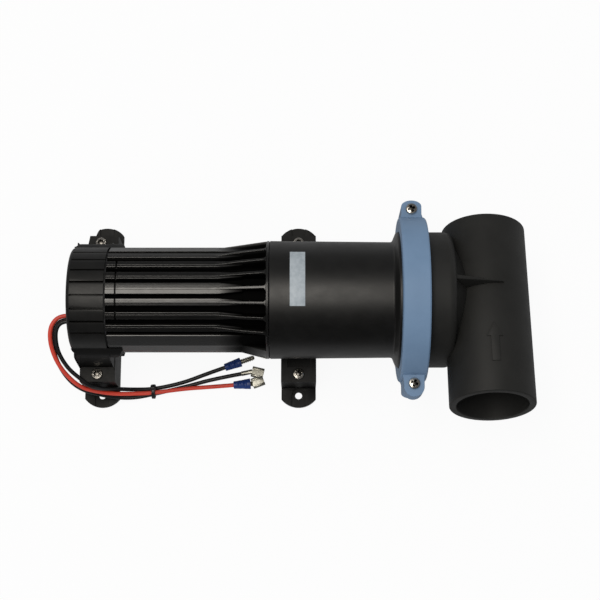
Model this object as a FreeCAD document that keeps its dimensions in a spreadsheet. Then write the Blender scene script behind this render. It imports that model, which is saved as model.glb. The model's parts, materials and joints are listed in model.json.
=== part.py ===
import FreeCAD
import Part
import Sketcher
import math
import os
import re

# Self-priming electric diaphragm pump for waste water.
# Frame: X runs from the motor to the pump head, Z is up, and the origin is the
# centre of the four mounting holes on the plane that the feet stand on.
# Lengths are millimetres. Every place below is measured from the pump's own axis,
# which lies axis_height above the feet, and X is measured from the origin.

SIZES = {
    # whole pump
    "axis_height": 60.5,
    "foot_x": 71.5,
    # end cap
    "cap_back_x": -86.0,
    "cap_front_x": -60.4,
    "cap_end_wall": 3.2,
    "cap_edge_round": 3.0,
    "cap_slot_width": 1.4,
    "cap_slot_back_x": -83.5,
    # motor cover
    "cover_back_x": -59.4,
    "cover_front_x": 51.3,
    "cover_radius": 36.7,
    "land_height": 4.6,
    "cover_wall": 6.1,
    "cover_sector": 107.0,
    "band_groove_x": -53.0,
    "band_groove_width": 1.2,
    "band_groove_depth": 2.0,
    "recess_front_x": 49.4,
    "flare_start_x": 14.5,
    "flare_end_x": 49.0,
    "land_taper_x": 17.0,
    "land_end_x": 33.5,
    "centre_land_width": 8.0,
    "side_land_width": 5.2,
    "land_pitch": 14.8,
    "rib_width": 1.9,
    "rib_pitch": 15.3,
    "facet_span": 18.0,
    "facet_start": 53.0,
    "seal_depth": 1.5,
    # pump housing
    "housing_radius": 41.2,
    "housing_draft": 0.8,
    "housing_wall": 3.6,
    "neck_x": 134.0,
    "shoulder_x": 139.0,
    "shoulder_rise": 6.0,
    "flange_rise": 4.8,
    "flange_thick": 4.6,
    "shoulder_wall": 6.2,
    "lug_width": 16.0,
    "lug_reach_y": 51.3,
    "lug_drop": 30.5,
    "lug_bottom": 12.0,
    "lug_root_y": 12.0,
    # feet
    "hole_y": 58.8,
    "hole_radius": 2.6,
    "foot_width": 25.0,
    "foot_tip_y": 67.4,
    "foot_tip_radius": 16.0,
    "pad_thick": 4.5,
    "pad_recess_depth": 1.2,
    "pad_recess_width": 10.0,
    "foot_wall": 2.0,
    "foot_fit": 0.2,
    "foot_inner_y": 22.0,
    "ledge_thick": 4.0,
    "ledge_pocket_y": 43.0,
    "ledge_pocket_depth": 1.2,
    "foot_screw_y": 48.0,
    "saddle_thick": 3.4,
    "saddle_top": 8.0,
    "saddle_back_x": -85.4,
    "saddle_front_x": -50.0,
    "saddle_waist": -14.0,
    # machine screws
    "screw_radius": 2.0,
    "screw_head_radius": 4.0,
    "screw_head_height": 2.5,
    "screw_socket_radius": 1.6,
    "screw_socket_depth": 1.4,
    "foot_screw_length": 17.0,
    # clamp ring
    "ring_x": 141.0,
    "ring_width": 18.5,
    "ring_thick": 5.6,
    "ring_fit": 0.5,
    "ring_lip": 2.3,
    "ring_split": 0.5,
    "ear_screw_out": 3.9,
    "ear_reach": 12.9,
    "ear_width": 14.0,
    "ear_overlap": 0.3,
    "ear_height": 15.5,
    "nut_radius": 3.9,
    "nut_height": 3.2,
    # diaphragm and its plates
    "bead_thick": 3.6,
    "bead_inset": 1.0,
    "diaphragm_thick": 2.4,
    "convolution_width": 14.0,
    "plate_thick": 3.6,
    "plate_fit": 0.3,
    "stroke_back": 5.0,
    "convolution_inset": 1.0,
    # pump head
    "head_turn": -12.5,
    "head_fit": 0.3,
    "dome_fit": 0.4,
    "dome_front_x": 178.0,
    "dome_round": 5.5,
    "chamber_front_x": 171.5,
    "neck_inset": 8.3,
    "neck_front_radius": 27.5,
    "pipe_x": 202.9,
    "pipe_radius": 29.5,
    "pipe_bore_radius": 24.7,
    "pipe_inner_radius": 24.2,
    "inlet_socket_depth": 48.0,
    "outlet_socket_depth": 26.0,
    "pipe_near_y": -79.0,
    "pipe_far_y": 53.0,
    "pipe_chamfer": 1.6,
    "port_radius": 13.0,
    "web_thick": 3.2,
    "web_front_x": 211.0,
    "web_rise": 1.6,
    "web_inset": 10.3,
    "arrow_tail_y": -58.0,
    "arrow_tip_y": -30.0,
    "arrow_head_length": 10.0,
    "arrow_head_width": 11.4,
    "arrow_shaft_width": 5.4,
    "arrow_rise": 0.6,
    # valves
    "seat_thick": 4.0,
    "seat_hole_radius": 16.0,
    "inlet_seat_y": -27.0,
    "outlet_seat_y": 15.0,
    "flap_radius": 18.5,
    "flap_thick": 2.5,
    "flap_fit": 0.3,
    "flap_pin_height": 20.6,
    "flap_pin_radius": 1.2,
    "flap_pin_offset": 3.0,
    "barrel_radius": 2.5,
    "barrel_length": 9.0,
    "seat_lug_width": 2.6,
    # shafts and bearings
    "shaft_radius": 3.0,
    "running_fit": 0.05,
    "bush_radius": 6.0,
    "bush_length": 6.0,
    "shaft_back_x": -54.0,
    # motor
    "can_clearance": 0.5,
    "can_wall": 1.5,
    "can_back_x": -46.0,
    "bell_thick": 4.0,
    "magnet_gap": 1.0,
    "core_radius": 16.0,
    "core_back_x": -16.0,
    "core_length": 38.0,
    "slot_count": 7,
    "tooth_slot_width": 3.0,
    "tooth_slot_depth": 7.0,
    "winding_radius": 14.2,
    "winding_overhang": 6.0,
    "commutator_radius": 8.0,
    "commutator_length": 10.0,
    "commutator_x": -34.0,
    "brush_width": 5.0,
    "brush_length": 9.0,
    "brush_gap": 0.3,
    "holder_thick": 3.0,
    "holder_bore_radius": 11.0,
    # gear frame
    "frame_flange_thick": 5.0,
    "frame_fit": 0.15,
    "frame_end_x": 110.0,
    "frame_end_thick": 6.0,
    "cheek_inner_y": 6.4,
    "end_bush_radius": 4.6,
    "end_wall_y": 6.0,
    "cheek_outer_y": 19.0,
    "cheek_top": 9.0,
    "cheek_bottom": 26.0,
    "tie_inset": 2.6,
    "tie_angle": 20.0,
    "tie_boss_width": 9.0,
    "tie_boss_length": 14.0,
    # worm drive
    "worm_x": 70.0,
    "worm_length": 27.0,
    "worm_root_radius": 3.6,
    "worm_tip_radius": 5.6,
    "gear_pitch": 4.0,
    "gear_teeth": 20,
    "wheel_drop": 17.4,
    "wheel_root_radius": 11.0,
    "wheel_tip_radius": 13.3,
    "wheel_width": 8.0,
    "tooth_root_width": 1.7,
    "tooth_tip_width": 1.0,
    "thread_root_width": 1.5,
    "thread_tip_width": 0.8,
    "axle_back_y": 18.0,
    # crank and rod
    "crank_throw": 5.0,
    "crank_pin_radius": 2.5,
    "rod_inner_y": 6.6,
    "rod_thick": 6.0,
    "rod_end_radius": 6.5,
    "rod_bush_radius": 4.2,
    "rod_boss_radius": 7.0,
    "rod_boss_x": 119.0,
    "rod_knee_x": 98.0,
    "rod_arm_height": 9.0,
    "plate_screw_radius": 2.5,
    "plate_screw_length": 20.0,
    # wires
    "wire_radius": 1.5,
    "wire_exit_y": -12.0,
    "wire_exit_z": -7.0,
    "grommet_radius": 6.4,
    "grommet_lip": 1.4,
    "tie_x": -34.0,
    "tie_y": -56.1,
    "tie_height": 5.5,
    "tie_radius": 4.3,
    "tie_band": 1.0,
    "tie_width": 3.0,
    "crimp_radius": 3.2,
    "crimp_length": 12.4,
    "pin_radius": 1.1,
    "pin_length": 10.5,
    "blade_length": 8.0,
    "blade_width": 6.3,
    "blade_thick": 0.8,
    "blade_barrel_radius": 2.0,
    "blade_barrel_length": 3.5,
    "strand_radius": 1.1,
    "strand_length": 8.0,
}

# Lengths that follow from the ones above.
FOLLOWS = {
    "cover_floor_radius": "cover_radius - land_height",
    "cover_bore_radius": "cover_radius - cover_wall",
    "seal_radius": "cover_radius - seal_depth",
    "tie_circle": "cover_bore_radius - tie_inset",
    "tie_boss_inner": "tie_circle - 2 * screw_radius",
    "can_radius": "tie_circle - screw_radius - can_clearance",
    "housing_bore_radius": "housing_radius - housing_wall",
    "housing_neck_radius": "housing_radius - housing_draft",
    "shoulder_radius": "housing_radius + shoulder_rise",
    "flange_bore_radius": "shoulder_radius - shoulder_wall",
    "flange_radius": "shoulder_radius + flange_rise",
    "ring_lip_radius": "shoulder_radius + ring_fit",
    "ring_radius": "flange_radius + ring_thick",
    "ear_root_y": "ring_lip_radius + ear_overlap",
    "ear_screw_y": "ring_radius + ear_screw_out",
    "ear_tip_y": "ring_radius + ear_reach",
    "bead_radius": "flange_radius - bead_inset",
    "convolution_radius": "flange_bore_radius - convolution_inset",
    "plate_radius": "flange_bore_radius - convolution_width",
    "dome_radius": "ring_lip_radius - dome_fit",
    "neck_back_radius": "dome_radius - neck_inset",
    "web_dome_height": "dome_radius - web_inset",
    "lug_top": "axis_height - lug_drop",
}

X_AXIS = FreeCAD.Vector(1, 0, 0)
Y_AXIS = FreeCAD.Vector(0, 1, 0)
ALONG_X = FreeCAD.Rotation(Y_AXIS, 90)
ALONG_Y = FreeCAD.Rotation(X_AXIS, -90)
ALONG_Z = FreeCAD.Rotation()

doc = FreeCAD.newDocument("waste_pump")
sheet = doc.addObject("Spreadsheet::Sheet", "Sizes")
for row, (alias, number) in enumerate(SIZES.items(), start=1):
    sheet.set("A%d" % row, alias)
    sheet.set("B%d" % row, str(number))
    sheet.setAlias("B%d" % row, alias)
doc.recompute()

pieces = []


def size(alias):
    """The number in the sheet under this alias."""
    return float(sheet.get(alias))


def formula(text):
    """The text with each alias written as a reference to the sheet."""
    def refer(match):
        word = match.group(0)
        if word in FOLLOWS:
            return "(%s)" % formula(FOLLOWS[word])
        return "Sizes." + word if word in SIZES else word
    return re.sub(r"[A-Za-z_][A-Za-z0-9_]*", refer, str(text))


def bind(obj, prop, text):
    obj.setExpression(prop, formula(text))


def put(obj, x, y, z, turn=ALONG_Z):
    """Place obj at x, y, z, with z measured from the pump's axis."""
    obj.Placement = FreeCAD.Placement(FreeCAD.Vector(0, 0, 0), turn)
    bind(obj, "Placement.Base.x", x)
    bind(obj, "Placement.Base.y", y)
    bind(obj, "Placement.Base.z", "axis_height + (%s)" % z)
    return obj


def cylinder(name, radius, length, x=0, y=0, z=0, along=ALONG_X):
    obj = doc.addObject("Part::Cylinder", name)
    bind(obj, "Radius", radius)
    bind(obj, "Height", length)
    return put(obj, x, y, z, along)


def cone(name, radius_1, radius_2, length, x=0, y=0, z=0, along=ALONG_X):
    obj = doc.addObject("Part::Cone", name)
    bind(obj, "Radius1", radius_1)
    bind(obj, "Radius2", radius_2)
    bind(obj, "Height", length)
    return put(obj, x, y, z, along)


def sector(name, radius, length, x, angle):
    """A slice of a cylinder about the pump's axis, centred on its top."""
    obj = doc.addObject("Part::Cylinder", name)
    bind(obj, "Radius", radius)
    bind(obj, "Height", length)
    bind(obj, "Angle", angle)
    doc.recompute()
    half = obj.Angle.Value / 2
    return put(obj, x, 0, 0, FreeCAD.Rotation(X_AXIS, 180 - half) * ALONG_X)


def box(name, x_0, x_1, y_0, y_1, z_0, z_1):
    """A box between two corners."""
    obj = doc.addObject("Part::Box", name)
    bind(obj, "Length", "(%s) - (%s)" % (x_1, x_0))
    bind(obj, "Width", "(%s) - (%s)" % (y_1, y_0))
    bind(obj, "Height", "(%s) - (%s)" % (z_1, z_0))
    return put(obj, x_0, y_0, z_0)


def radial_box(name, x_0, x_1, width, height, angle):
    """A box that stands on the pump's axis, leaned from the top towards +Y by angle."""
    obj = doc.addObject("Part::Box", name)
    bind(obj, "Length", "(%s) - (%s)" % (x_1, x_0))
    bind(obj, "Width", width)
    bind(obj, "Height", height)
    across = "-(%s) / 2 * cos(%s)" % (width, angle)
    lift = "(%s) / 2 * sin(%s)" % (width, angle)
    return put(obj, x_0, across, lift, FreeCAD.Rotation(X_AXIS, -angle))


def cut(name, base, *tools):
    obj = doc.addObject("Part::Cut", name)
    obj.Base = base
    obj.Tool = tools[0] if len(tools) == 1 else fuse(name + "_tools", *tools)
    return obj


def fuse(name, *shapes):
    obj = doc.addObject("Part::MultiFuse", name)
    obj.Shapes = list(shapes)
    return obj


def common(name, *shapes):
    obj = doc.addObject("Part::MultiCommon", name)
    obj.Shapes = list(shapes)
    return obj


def group(name, *shapes):
    """Several separate solids that share one node."""
    obj = doc.addObject("Part::Compound", name)
    obj.Links = list(shapes)
    return obj


def tube(name, outer, inner, length, x=0, y=0, z=0, along=ALONG_X):
    rod = cylinder(name + "_outer", outer, length, x, y, z, along)
    hole = cylinder(name + "_inner", inner, length, x, y, z, along)
    return cut(name, rod, hole)


def sketch_of(body, plane, corners):
    """A closed outline of straight lines whose corners are bound to the sheet."""
    doc.recompute()
    sketch = body.newObject("Sketcher::SketchObject", body.Name + "_outline")
    origin_plane = [f for f in body.Origin.OriginFeatures if f.Role == plane][0]
    sketch.AttachmentSupport = [(origin_plane, "")]
    sketch.MapMode = "FlatFace"
    probe = doc.addObject("App::FeaturePython", body.Name + "_corners")
    spots = []
    for number, corner in enumerate(corners):
        spot = []
        for axis_name, text in zip("uv", corner):
            prop = "%s%d" % (axis_name, number)
            probe.addProperty("App::PropertyFloat", prop)
            bind(probe, prop, text)
            spot.append(prop)
        spots.append(spot)
    doc.recompute()
    numbers = [tuple(getattr(probe, prop) for prop in spot) for spot in spots]
    count = len(numbers)
    for i in range(count):
        start = FreeCAD.Vector(*numbers[i], 0)
        end = FreeCAD.Vector(*numbers[(i + 1) % count], 0)
        sketch.addGeometry(Part.LineSegment(start, end), False)
    for i in range(count):
        sketch.addConstraint(Sketcher.Constraint("Coincident", i, 2, (i + 1) % count, 1))
    for i in range(count):
        for kind, value, prop in zip(("DistanceX", "DistanceY"), numbers[i], spots[i]):
            index = sketch.addConstraint(Sketcher.Constraint(kind, -1, 1, i, 1, value))
            sketch.setExpression("Constraints[%d]" % index, "%s.%s" % (probe.Name, prop))
    return sketch


def revolved(name, corners):
    """A body turned about the pump's axis from an outline in x and radius."""
    body = doc.addObject("PartDesign::Body", name)
    sketch = sketch_of(body, "XZ_Plane", corners)
    turn = body.newObject("PartDesign::Revolution", name + "_turn")
    turn.Profile = sketch
    turn.ReferenceAxis = (sketch, ["H_Axis"])
    turn.Angle = 360
    bind(body, "Placement.Base.z", "axis_height")
    doc.recompute()
    return body


def padded(name, plane, corners, thickness, x=0, y=0, z=0, turn=ALONG_Z):
    """A body of even thickness, half of it on each side of its plane."""
    body = doc.addObject("PartDesign::Body", name)
    sketch = sketch_of(body, plane, corners)
    pad = body.newObject("PartDesign::Pad", name + "_pad")
    pad.Profile = sketch
    pad.Midplane = True
    bind(pad, "Length", thickness)
    put(body, x, y, z, turn)
    doc.recompute()
    return body


def round_rim(body, alias, x):
    """Round the outermost circular edge of a turned body at this x."""
    found = []
    sharp = body.Tip
    for number, edge in enumerate(sharp.Shape.Edges, start=1):
        curve = edge.Curve
        if isinstance(curve, Part.Circle) and abs(curve.Center.x - x) < 0.01:
            found.append((curve.Radius, "Edge%d" % number))
    rim = max(found)[0]
    wanted = [edge for radius, edge in found if rim - radius < 0.01]
    fillet = body.newObject("PartDesign::Fillet", body.Name + "_round")
    fillet.Base = (sharp, wanted)
    bind(fillet, "Radius", alias)
    body.Tip = fillet
    doc.recompute()


def finish(obj, label, turned=False):
    """Name a finished piece; a turned one swings about the pump's axis with the head."""
    obj.Label = label
    if turned:
        swing = FreeCAD.Rotation(X_AXIS, size("head_turn"))
        obj.Placement = FreeCAD.Placement(FreeCAD.Vector(0, 0, 0), swing)
        bind(obj, "Placement.Base.y", "axis_height * sin(head_turn)")
        bind(obj, "Placement.Base.z", "axis_height * (1 - cos(head_turn))")
    pieces.append(obj)


def tie_cylinders(name, radius, x, length):
    """Four cylinders along the tie bolts, two on each side of the motor."""
    made = []
    for number, (across, up) in enumerate(((1, 1), (1, -1), (-1, 1), (-1, -1))):
        y = "%d * tie_circle * cos(tie_angle)" % across
        z = "%d * tie_circle * sin(tie_angle)" % up
        made.append(cylinder("%s_%d" % (name, number), radius, length, x, y, z))
    return made


def pan_screw(name, length, x, y, z):
    """A pan head machine screw pointing down, with its head's underside at z."""
    head = cylinder(name + "_head", "screw_head_radius", "screw_head_height", x, y, z, ALONG_Z)
    shank = cylinder(name + "_shank", "screw_radius", length, x, y, "(%s) - (%s)" % (z, length), ALONG_Z)
    depth = "(%s) + screw_head_height - screw_socket_depth" % z
    socket = cylinder(name + "_socket", "screw_socket_radius", "screw_socket_depth", x, y, depth, ALONG_Z)
    return cut(name, fuse(name + "_solid", head, shank), socket)


# Motor cover: lands and thin ribs stand in a deep recess over the top.
def motor_cover():
    crest = [("cover_back_x", 0), ("cover_back_x", "cover_radius"),
             ("flare_start_x", "cover_radius"), ("flare_end_x", "housing_radius"),
             ("cover_front_x", "housing_radius"), ("cover_front_x", 0)]
    shell = revolved("cover_crest", crest)
    recess_length = "recess_front_x - cover_back_x + 1"
    recess = cut("cover_recess",
                 sector("cover_recess_outer", "housing_radius + 5", recess_length,
                        "cover_back_x - 1", "cover_sector"),
                 cylinder("cover_recess_floor", "cover_floor_radius", "recess_front_x - cover_back_x + 3",
                          "cover_back_x - 2"))
    facets = [facet_cut("cover_facet_%d" % n, "cover_back_x - 1", "flare_start_x", side, ring)
              for n, (side, ring) in enumerate(((1, 0), (-1, 0), (1, 1), (-1, 1)))]
    carved = cut("cover_carved", shell, recess, *facets)
    standing = []
    for step in range(-3, 4):
        angle = step * size("land_pitch")
        width = "centre_land_width" if step == 0 else "side_land_width"
        land = radial_box("land_%d" % (step + 3), "cover_back_x", "land_taper_x", width,
                          "cover_radius + 1", angle)
        standing.append(land)
        standing.append(land_tip("land_tip_%d" % (step + 3), width, angle))
        standing.append(radial_box("rib_%d" % (step + 3), "land_taper_x", "recess_front_x",
                                   "rib_width", "housing_radius + 1", step * size("rib_pitch")))
    lands = common("cover_lands", fuse("cover_ribs", *standing), revolved("cover_limit", crest))
    groove = tube("band_groove", "cover_radius + 2", "cover_radius - band_groove_depth",
                  "band_groove_width", "band_groove_x")
    top_only = box("band_top", "band_groove_x - 1", "band_groove_x + 4", "-cover_radius", "cover_radius",
                   "cover_radius * cos(34)", "cover_radius + 3")
    band = common("band_cut", groove, top_only)
    bore = cylinder("cover_bore", "cover_bore_radius", "cover_front_x - cover_back_x + 2", "cover_back_x - 1")
    finish(cut("motor_cover", fuse("cover_solid", carved, lands), band, bore), "motor_cover")


def facet_cut(name, x_0, x_1, side, ring):
    """The block that flattens one long facet low on the side of the cover."""
    angle = side * (size("facet_start") + size("facet_span") * (ring + 0.5))
    block = doc.addObject("Part::Box", name)
    bind(block, "Length", "(%s) - (%s)" % (x_1, x_0))
    bind(block, "Width", "cover_radius")
    bind(block, "Height", "cover_radius / 4")
    flat = "cover_radius * cos(facet_span / 2)"
    y = "%s * sin(%s) - cover_radius / 2 * cos(%s)" % (flat, angle, angle)
    z = "%s * cos(%s) + cover_radius / 2 * sin(%s)" % (flat, angle, angle)
    return put(block, x_0, y, z, FreeCAD.Rotation(X_AXIS, -angle))


def land_tip(name, width, angle):
    """The tapered end of a land, drawn in to the thickness of its rib."""
    corners = [("land_taper_x", "(%s) / 2" % width), ("land_end_x", "rib_width / 2"),
               ("land_end_x", "-rib_width / 2"), ("land_taper_x", "-(%s) / 2" % width)]
    reach = "2 * cover_radius"
    body = padded(name, "XY_Plane", corners, reach, 0, 0, 0, FreeCAD.Rotation(X_AXIS, -angle))
    top = box(name + "_top", "land_taper_x", "land_end_x", "-cover_radius", "cover_radius",
              "5", "cover_radius + 1")
    limit = cylinder(name + "_limit", "cover_radius", "land_end_x - land_taper_x", "land_taper_x")
    return common(name + "_cut", body, top, limit)


def end_cap():
    outline = [("cap_back_x", 0), ("cap_back_x", "cover_radius"),
               ("cap_front_x", "cover_radius"), ("cap_front_x", 0)]
    body = revolved("cap_body", outline)
    round_rim(body, "cap_edge_round", size("cap_back_x"))
    slots = []
    for step in (-3, -2, -1, 0, 1, 2, 3, 4):
        angle = (step - 0.5) * size("land_pitch") * 0.975
        slot = radial_box("cap_slot_%d" % (step + 3), "cap_slot_back_x", "cap_front_x + 1",
                          "cap_slot_width", "cover_radius + 2", angle)
        slots.append(slot)
    floor = cylinder("cap_floor", "cover_floor_radius + 0.6", "cap_front_x - cap_slot_back_x + 3",
                     "cap_slot_back_x - 1")
    slot_cut = cut("cap_slots", fuse("cap_slot_blades", *slots), floor)
    lugs = [lug("cap_lug_%d" % n, "-foot_x", side) for n, side in enumerate((1, -1))]
    bore = cylinder("cap_bore", "cover_bore_radius", "cap_front_x - cap_back_x",
                    "cap_back_x + cap_end_wall")
    gland = cylinder("cap_gland", "grommet_radius - grommet_lip", "cap_end_wall + 2", "cap_back_x - 1",
                     "wire_exit_y", "wire_exit_z")
    bolts = tie_cylinders("cap_bolt_hole", "screw_radius", "cap_back_x - 1", "cap_end_wall + 2")
    sinks = tie_cylinders("cap_head_sink", "screw_head_radius + foot_fit", "cap_back_x - 1",
                          "1 + screw_head_height / 2")
    holes = foot_screw_holes("cap_lug_hole", "-foot_x")
    finish(cut("end_cap", fuse("cap_solid", body, *lugs), slot_cut, bore, gland, *bolts, *sinks, *holes),
           "end_cap")


def side_box(name, x_0, x_1, y_0, y_1, z_0, z_1, side):
    """A box whose y_0 and y_1 are distances towards +Y or, for side -1, towards -Y."""
    if side > 0:
        return box(name, x_0, x_1, y_0, y_1, z_0, z_1)
    return box(name, x_0, x_1, "-(%s)" % y_1, "-(%s)" % y_0, z_0, z_1)


def lug(name, x, side):
    """The block under a foot's ledge that takes its screw."""
    return side_box(name, "(%s) - lug_width / 2" % x, "(%s) + lug_width / 2" % x, "lug_root_y",
                    "lug_reach_y", "lug_bottom - axis_height", "lug_top - axis_height", side)


def foot_screw_holes(name, x):
    holes = []
    for n, side in enumerate((1, -1)):
        holes.append(cylinder("%s_%d" % (name, n), "screw_radius", "lug_top - lug_bottom + 2", x,
                              "%d * foot_screw_y" % side, "lug_bottom - axis_height - 1", ALONG_Z))
    return holes


def pump_housing():
    flange_x = "ring_x + ring_lip"
    bore = "housing_bore_radius"
    outline = [("cover_front_x", bore), ("cover_front_x", "housing_radius"),
               ("neck_x", "housing_neck_radius"), ("shoulder_x", "shoulder_radius"),
               (flange_x, "shoulder_radius"), (flange_x, "flange_radius"),
               (flange_x + " + flange_thick", "flange_radius"),
               (flange_x + " + flange_thick", "flange_bore_radius"),
               ("shoulder_x", "flange_bore_radius"), ("neck_x", bore)]
    shell = revolved("housing_shell", outline)
    lugs = [lug("housing_lug_%d" % n, "foot_x", side) for n, side in enumerate((1, -1))]
    inside = cylinder("housing_inside", bore, "neck_x - cover_front_x", "cover_front_x")
    outside = cut("housing_outside", fuse("housing_with_lugs", shell, *lugs), inside)
    bosses = []
    for n, (across, up) in enumerate(((1, 1), (1, -1), (-1, 1), (-1, -1))):
        angle = 90 * across - up * across * size("tie_angle")
        arm = radial_box("tie_boss_%d" % n, "cover_front_x + frame_flange_thick",
                         "cover_front_x + frame_flange_thick + tie_boss_length",
                         "tie_boss_width", bore + " + 0.6", angle)
        bosses.append(arm)
    core = cylinder("tie_boss_core", "tie_boss_inner", "tie_boss_length + 2",
                    "cover_front_x + frame_flange_thick - 1")
    boss_arms = cut("tie_boss_arms", fuse("tie_bosses", *bosses), core)
    bolts = tie_cylinders("housing_bolt_hole", "screw_radius", "cover_front_x",
                          "frame_flange_thick + tie_boss_length")
    holes = foot_screw_holes("housing_lug_hole", "foot_x")
    finish(cut("pump_housing", fuse("housing_solid", outside, boss_arms), *bolts, *holes), "pump_housing")


def foot(label, x, side, carrier_radius):
    """One bolt-down foot: a pad, a hollow leg over the lug and a ledge for its screw."""
    n = label
    left = "(%s) - foot_width / 2" % x
    right = "(%s) + foot_width / 2" % x
    floor = "-axis_height"
    ledge = "lug_top + ledge_thick - axis_height"
    leg = side_box(n + "_leg", left, right, "foot_inner_y", "lug_reach_y + foot_fit + foot_wall",
                   floor, ledge, side)
    arc_y = "foot_tip_y - foot_tip_radius"
    pad = side_box(n + "_pad", left, right, "foot_inner_y", arc_y, floor, "pad_thick - axis_height", side)
    toe_box = side_box(n + "_toe_box", left, right, arc_y, "foot_tip_y + 1", floor,
                       "pad_thick - axis_height", side)
    toe_disc = cylinder(n + "_toe_disc", "foot_tip_radius", "pad_thick", x,
                        "%d * (%s)" % (side, arc_y), floor, ALONG_Z)
    toe = common(n + "_toe", toe_box, toe_disc)
    adds = [leg, pad, toe]
    if size("foot_x") > 0 and x.startswith("-"):
        adds.append(saddle(n + "_saddle", x, side))
    room = side_box(n + "_room", "(%s) - lug_width / 2 - foot_fit" % x, "(%s) + lug_width / 2 + foot_fit" % x,
                    "lug_root_y - 1", "lug_reach_y + foot_fit", "pad_thick - axis_height",
                    "lug_top - axis_height", side)
    hole_y = "%d * hole_y" % side
    bolt = cylinder(n + "_bolt_hole", "hole_radius", "pad_thick + 2", x, hole_y, floor + " - 1", ALONG_Z)
    recess_floor = "pad_thick - pad_recess_depth - axis_height"
    dish = cylinder(n + "_dish", "pad_recess_width / 2", "pad_thick", x, hole_y, recess_floor, ALONG_Z)
    run = side_box(n + "_run", "(%s) - pad_recess_width / 2" % x, "(%s) + pad_recess_width / 2" % x,
                   "hole_y", "foot_tip_y + 1", recess_floor, "pad_thick - axis_height + 1", side)
    pocket = side_box(n + "_pocket", "(%s) - lug_width / 2" % x, "(%s) + lug_width / 2" % x,
                      "foot_inner_y", "ledge_pocket_y", ledge + " - ledge_pocket_depth", ledge + " + 1", side)
    screw = cylinder(n + "_screw_hole", "screw_radius", "ledge_thick + 2", x,
                     "%d * foot_screw_y" % side, "lug_top - axis_height - 1", ALONG_Z)
    carrier = cylinder(n + "_carrier", carrier_radius, "2 * foot_width", "(%s) - foot_width" % x)
    finish(cut(n, fuse(n + "_solid", *adds), room, bolt, dish, run, pocket, screw, carrier), label)


def saddle(name, x, side):
    """The shoulder of a rear foot, which wraps the side of the end cap."""
    low = "lug_top - axis_height - 6"
    corners = [("saddle_back_x", "saddle_top"), ("saddle_front_x", "saddle_top"),
               ("saddle_front_x", "saddle_waist"),
               ("(%s) + foot_width / 2" % x, "lug_top + ledge_thick - axis_height"),
               ("(%s) + foot_width / 2" % x, low), ("(%s) - foot_width / 2" % x, low),
               ("(%s) - foot_width / 2" % x, "lug_top + ledge_thick - axis_height"),
               ("saddle_back_x", "saddle_waist")]
    sheet_body = padded(name + "_sheet", "XZ_Plane", corners, "4 * cover_radius")
    ring = tube(name + "_ring", "cover_radius + saddle_thick", "cover_radius",
                "saddle_front_x - saddle_back_x + 2", "saddle_back_x - 1")
    half = side_box(name + "_half", "saddle_back_x - 2", "saddle_front_x + 2", "foot_inner_y / 2",
                    "cover_radius + saddle_thick + 1", "-cover_radius", "cover_radius", side)
    return common(name, sheet_body, ring, half)


# Clamp ring: two halves that grip the housing, the diaphragm and the head.
def clamp_ring_half(label, side):
    edge = "1"
    outline = [("ring_x", 0), ("ring_x", "ring_radius - " + edge), ("ring_x + " + edge, "ring_radius"),
               ("ring_x + ring_width - " + edge, "ring_radius"),
               ("ring_x + ring_width", "ring_radius - " + edge), ("ring_x + ring_width", 0)]
    hoop = revolved(label + "_hoop", outline)
    adds = [hoop]
    middle = "ring_x + ring_width / 2"
    for n, across in enumerate((1, -1)):
        adds.append(side_box("%s_ear_%d" % (label, n), middle + " - ear_width / 2",
                             middle + " + ear_width / 2", "ear_root_y", "ear_tip_y - ear_width / 2",
                             "-ear_height", "ear_height", across))
        adds.append(cylinder("%s_ear_end_%d" % (label, n), "ear_width / 2", "2 * ear_height", middle,
                             "%d * (ear_tip_y - ear_width / 2)" % across, "-ear_height", ALONG_Z))
    groove = cylinder(label + "_groove", "flange_radius + head_fit", "ring_width - 2 * ring_lip",
                      "ring_x + ring_lip")
    mouth = cylinder(label + "_mouth", "ring_lip_radius", "ring_width + 2", "ring_x - 1")
    bolts = [cylinder("%s_hole_%d" % (label, n), "screw_radius", "2 * ear_height + 2", middle,
                      "%d * ear_screw_y" % across, "-ear_height - 1", ALONG_Z)
             for n, across in enumerate((1, -1))]
    whole = cut(label + "_whole", fuse(label + "_solid", *adds), groove, mouth, *bolts)
    low, high = ("ring_split / 2", "ring_radius + 2") if side > 0 else ("-ring_radius - 2", "-ring_split / 2")
    half = box(label + "_half", "ring_x - 2", "ring_x + ring_width + 2", "-ear_tip_y - 2", "ear_tip_y + 2",
               low, high)
    finish(common(label, whole, half), label)


def hex_nut(name, x, y, z):
    prism = doc.addObject("Part::Prism", name + "_prism")
    prism.Polygon = 6
    bind(prism, "Circumradius", "nut_radius")
    bind(prism, "Height", "nut_height")
    put(prism, x, y, z)
    return cut(name, prism, cylinder(name + "_bore", "screw_radius", "nut_height + 2", x, y,
                                     "(%s) - 1" % z, ALONG_Z))


def clamp_fasteners():
    middle = "ring_x + ring_width / 2"
    screws = []
    nuts = []
    for n, across in enumerate((1, -1)):
        y = "%d * ear_screw_y" % across
        screws.append(pan_screw("clamp_screw_%d" % n, "2 * ear_height + nut_height + 1", middle, y,
                                "ear_height"))
        nuts.append(hex_nut("clamp_nut_%d" % n, middle, y, "-ear_height - nut_height"))
    finish(group("clamp_screws", *screws), "clamp_screws")
    finish(group("clamp_nuts", *nuts), "clamp_nuts")


def foot_screws():
    screws = []
    for x in ("foot_x", "-foot_x"):
        for side in (1, -1):
            name = "foot_screw_%d" % len(screws)
            screws.append(pan_screw(name, "foot_screw_length", x, "%d * foot_screw_y" % side,
                                    "lug_top + ledge_thick - axis_height"))
    finish(group("foot_screws", *screws), "foot_screws")


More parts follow.
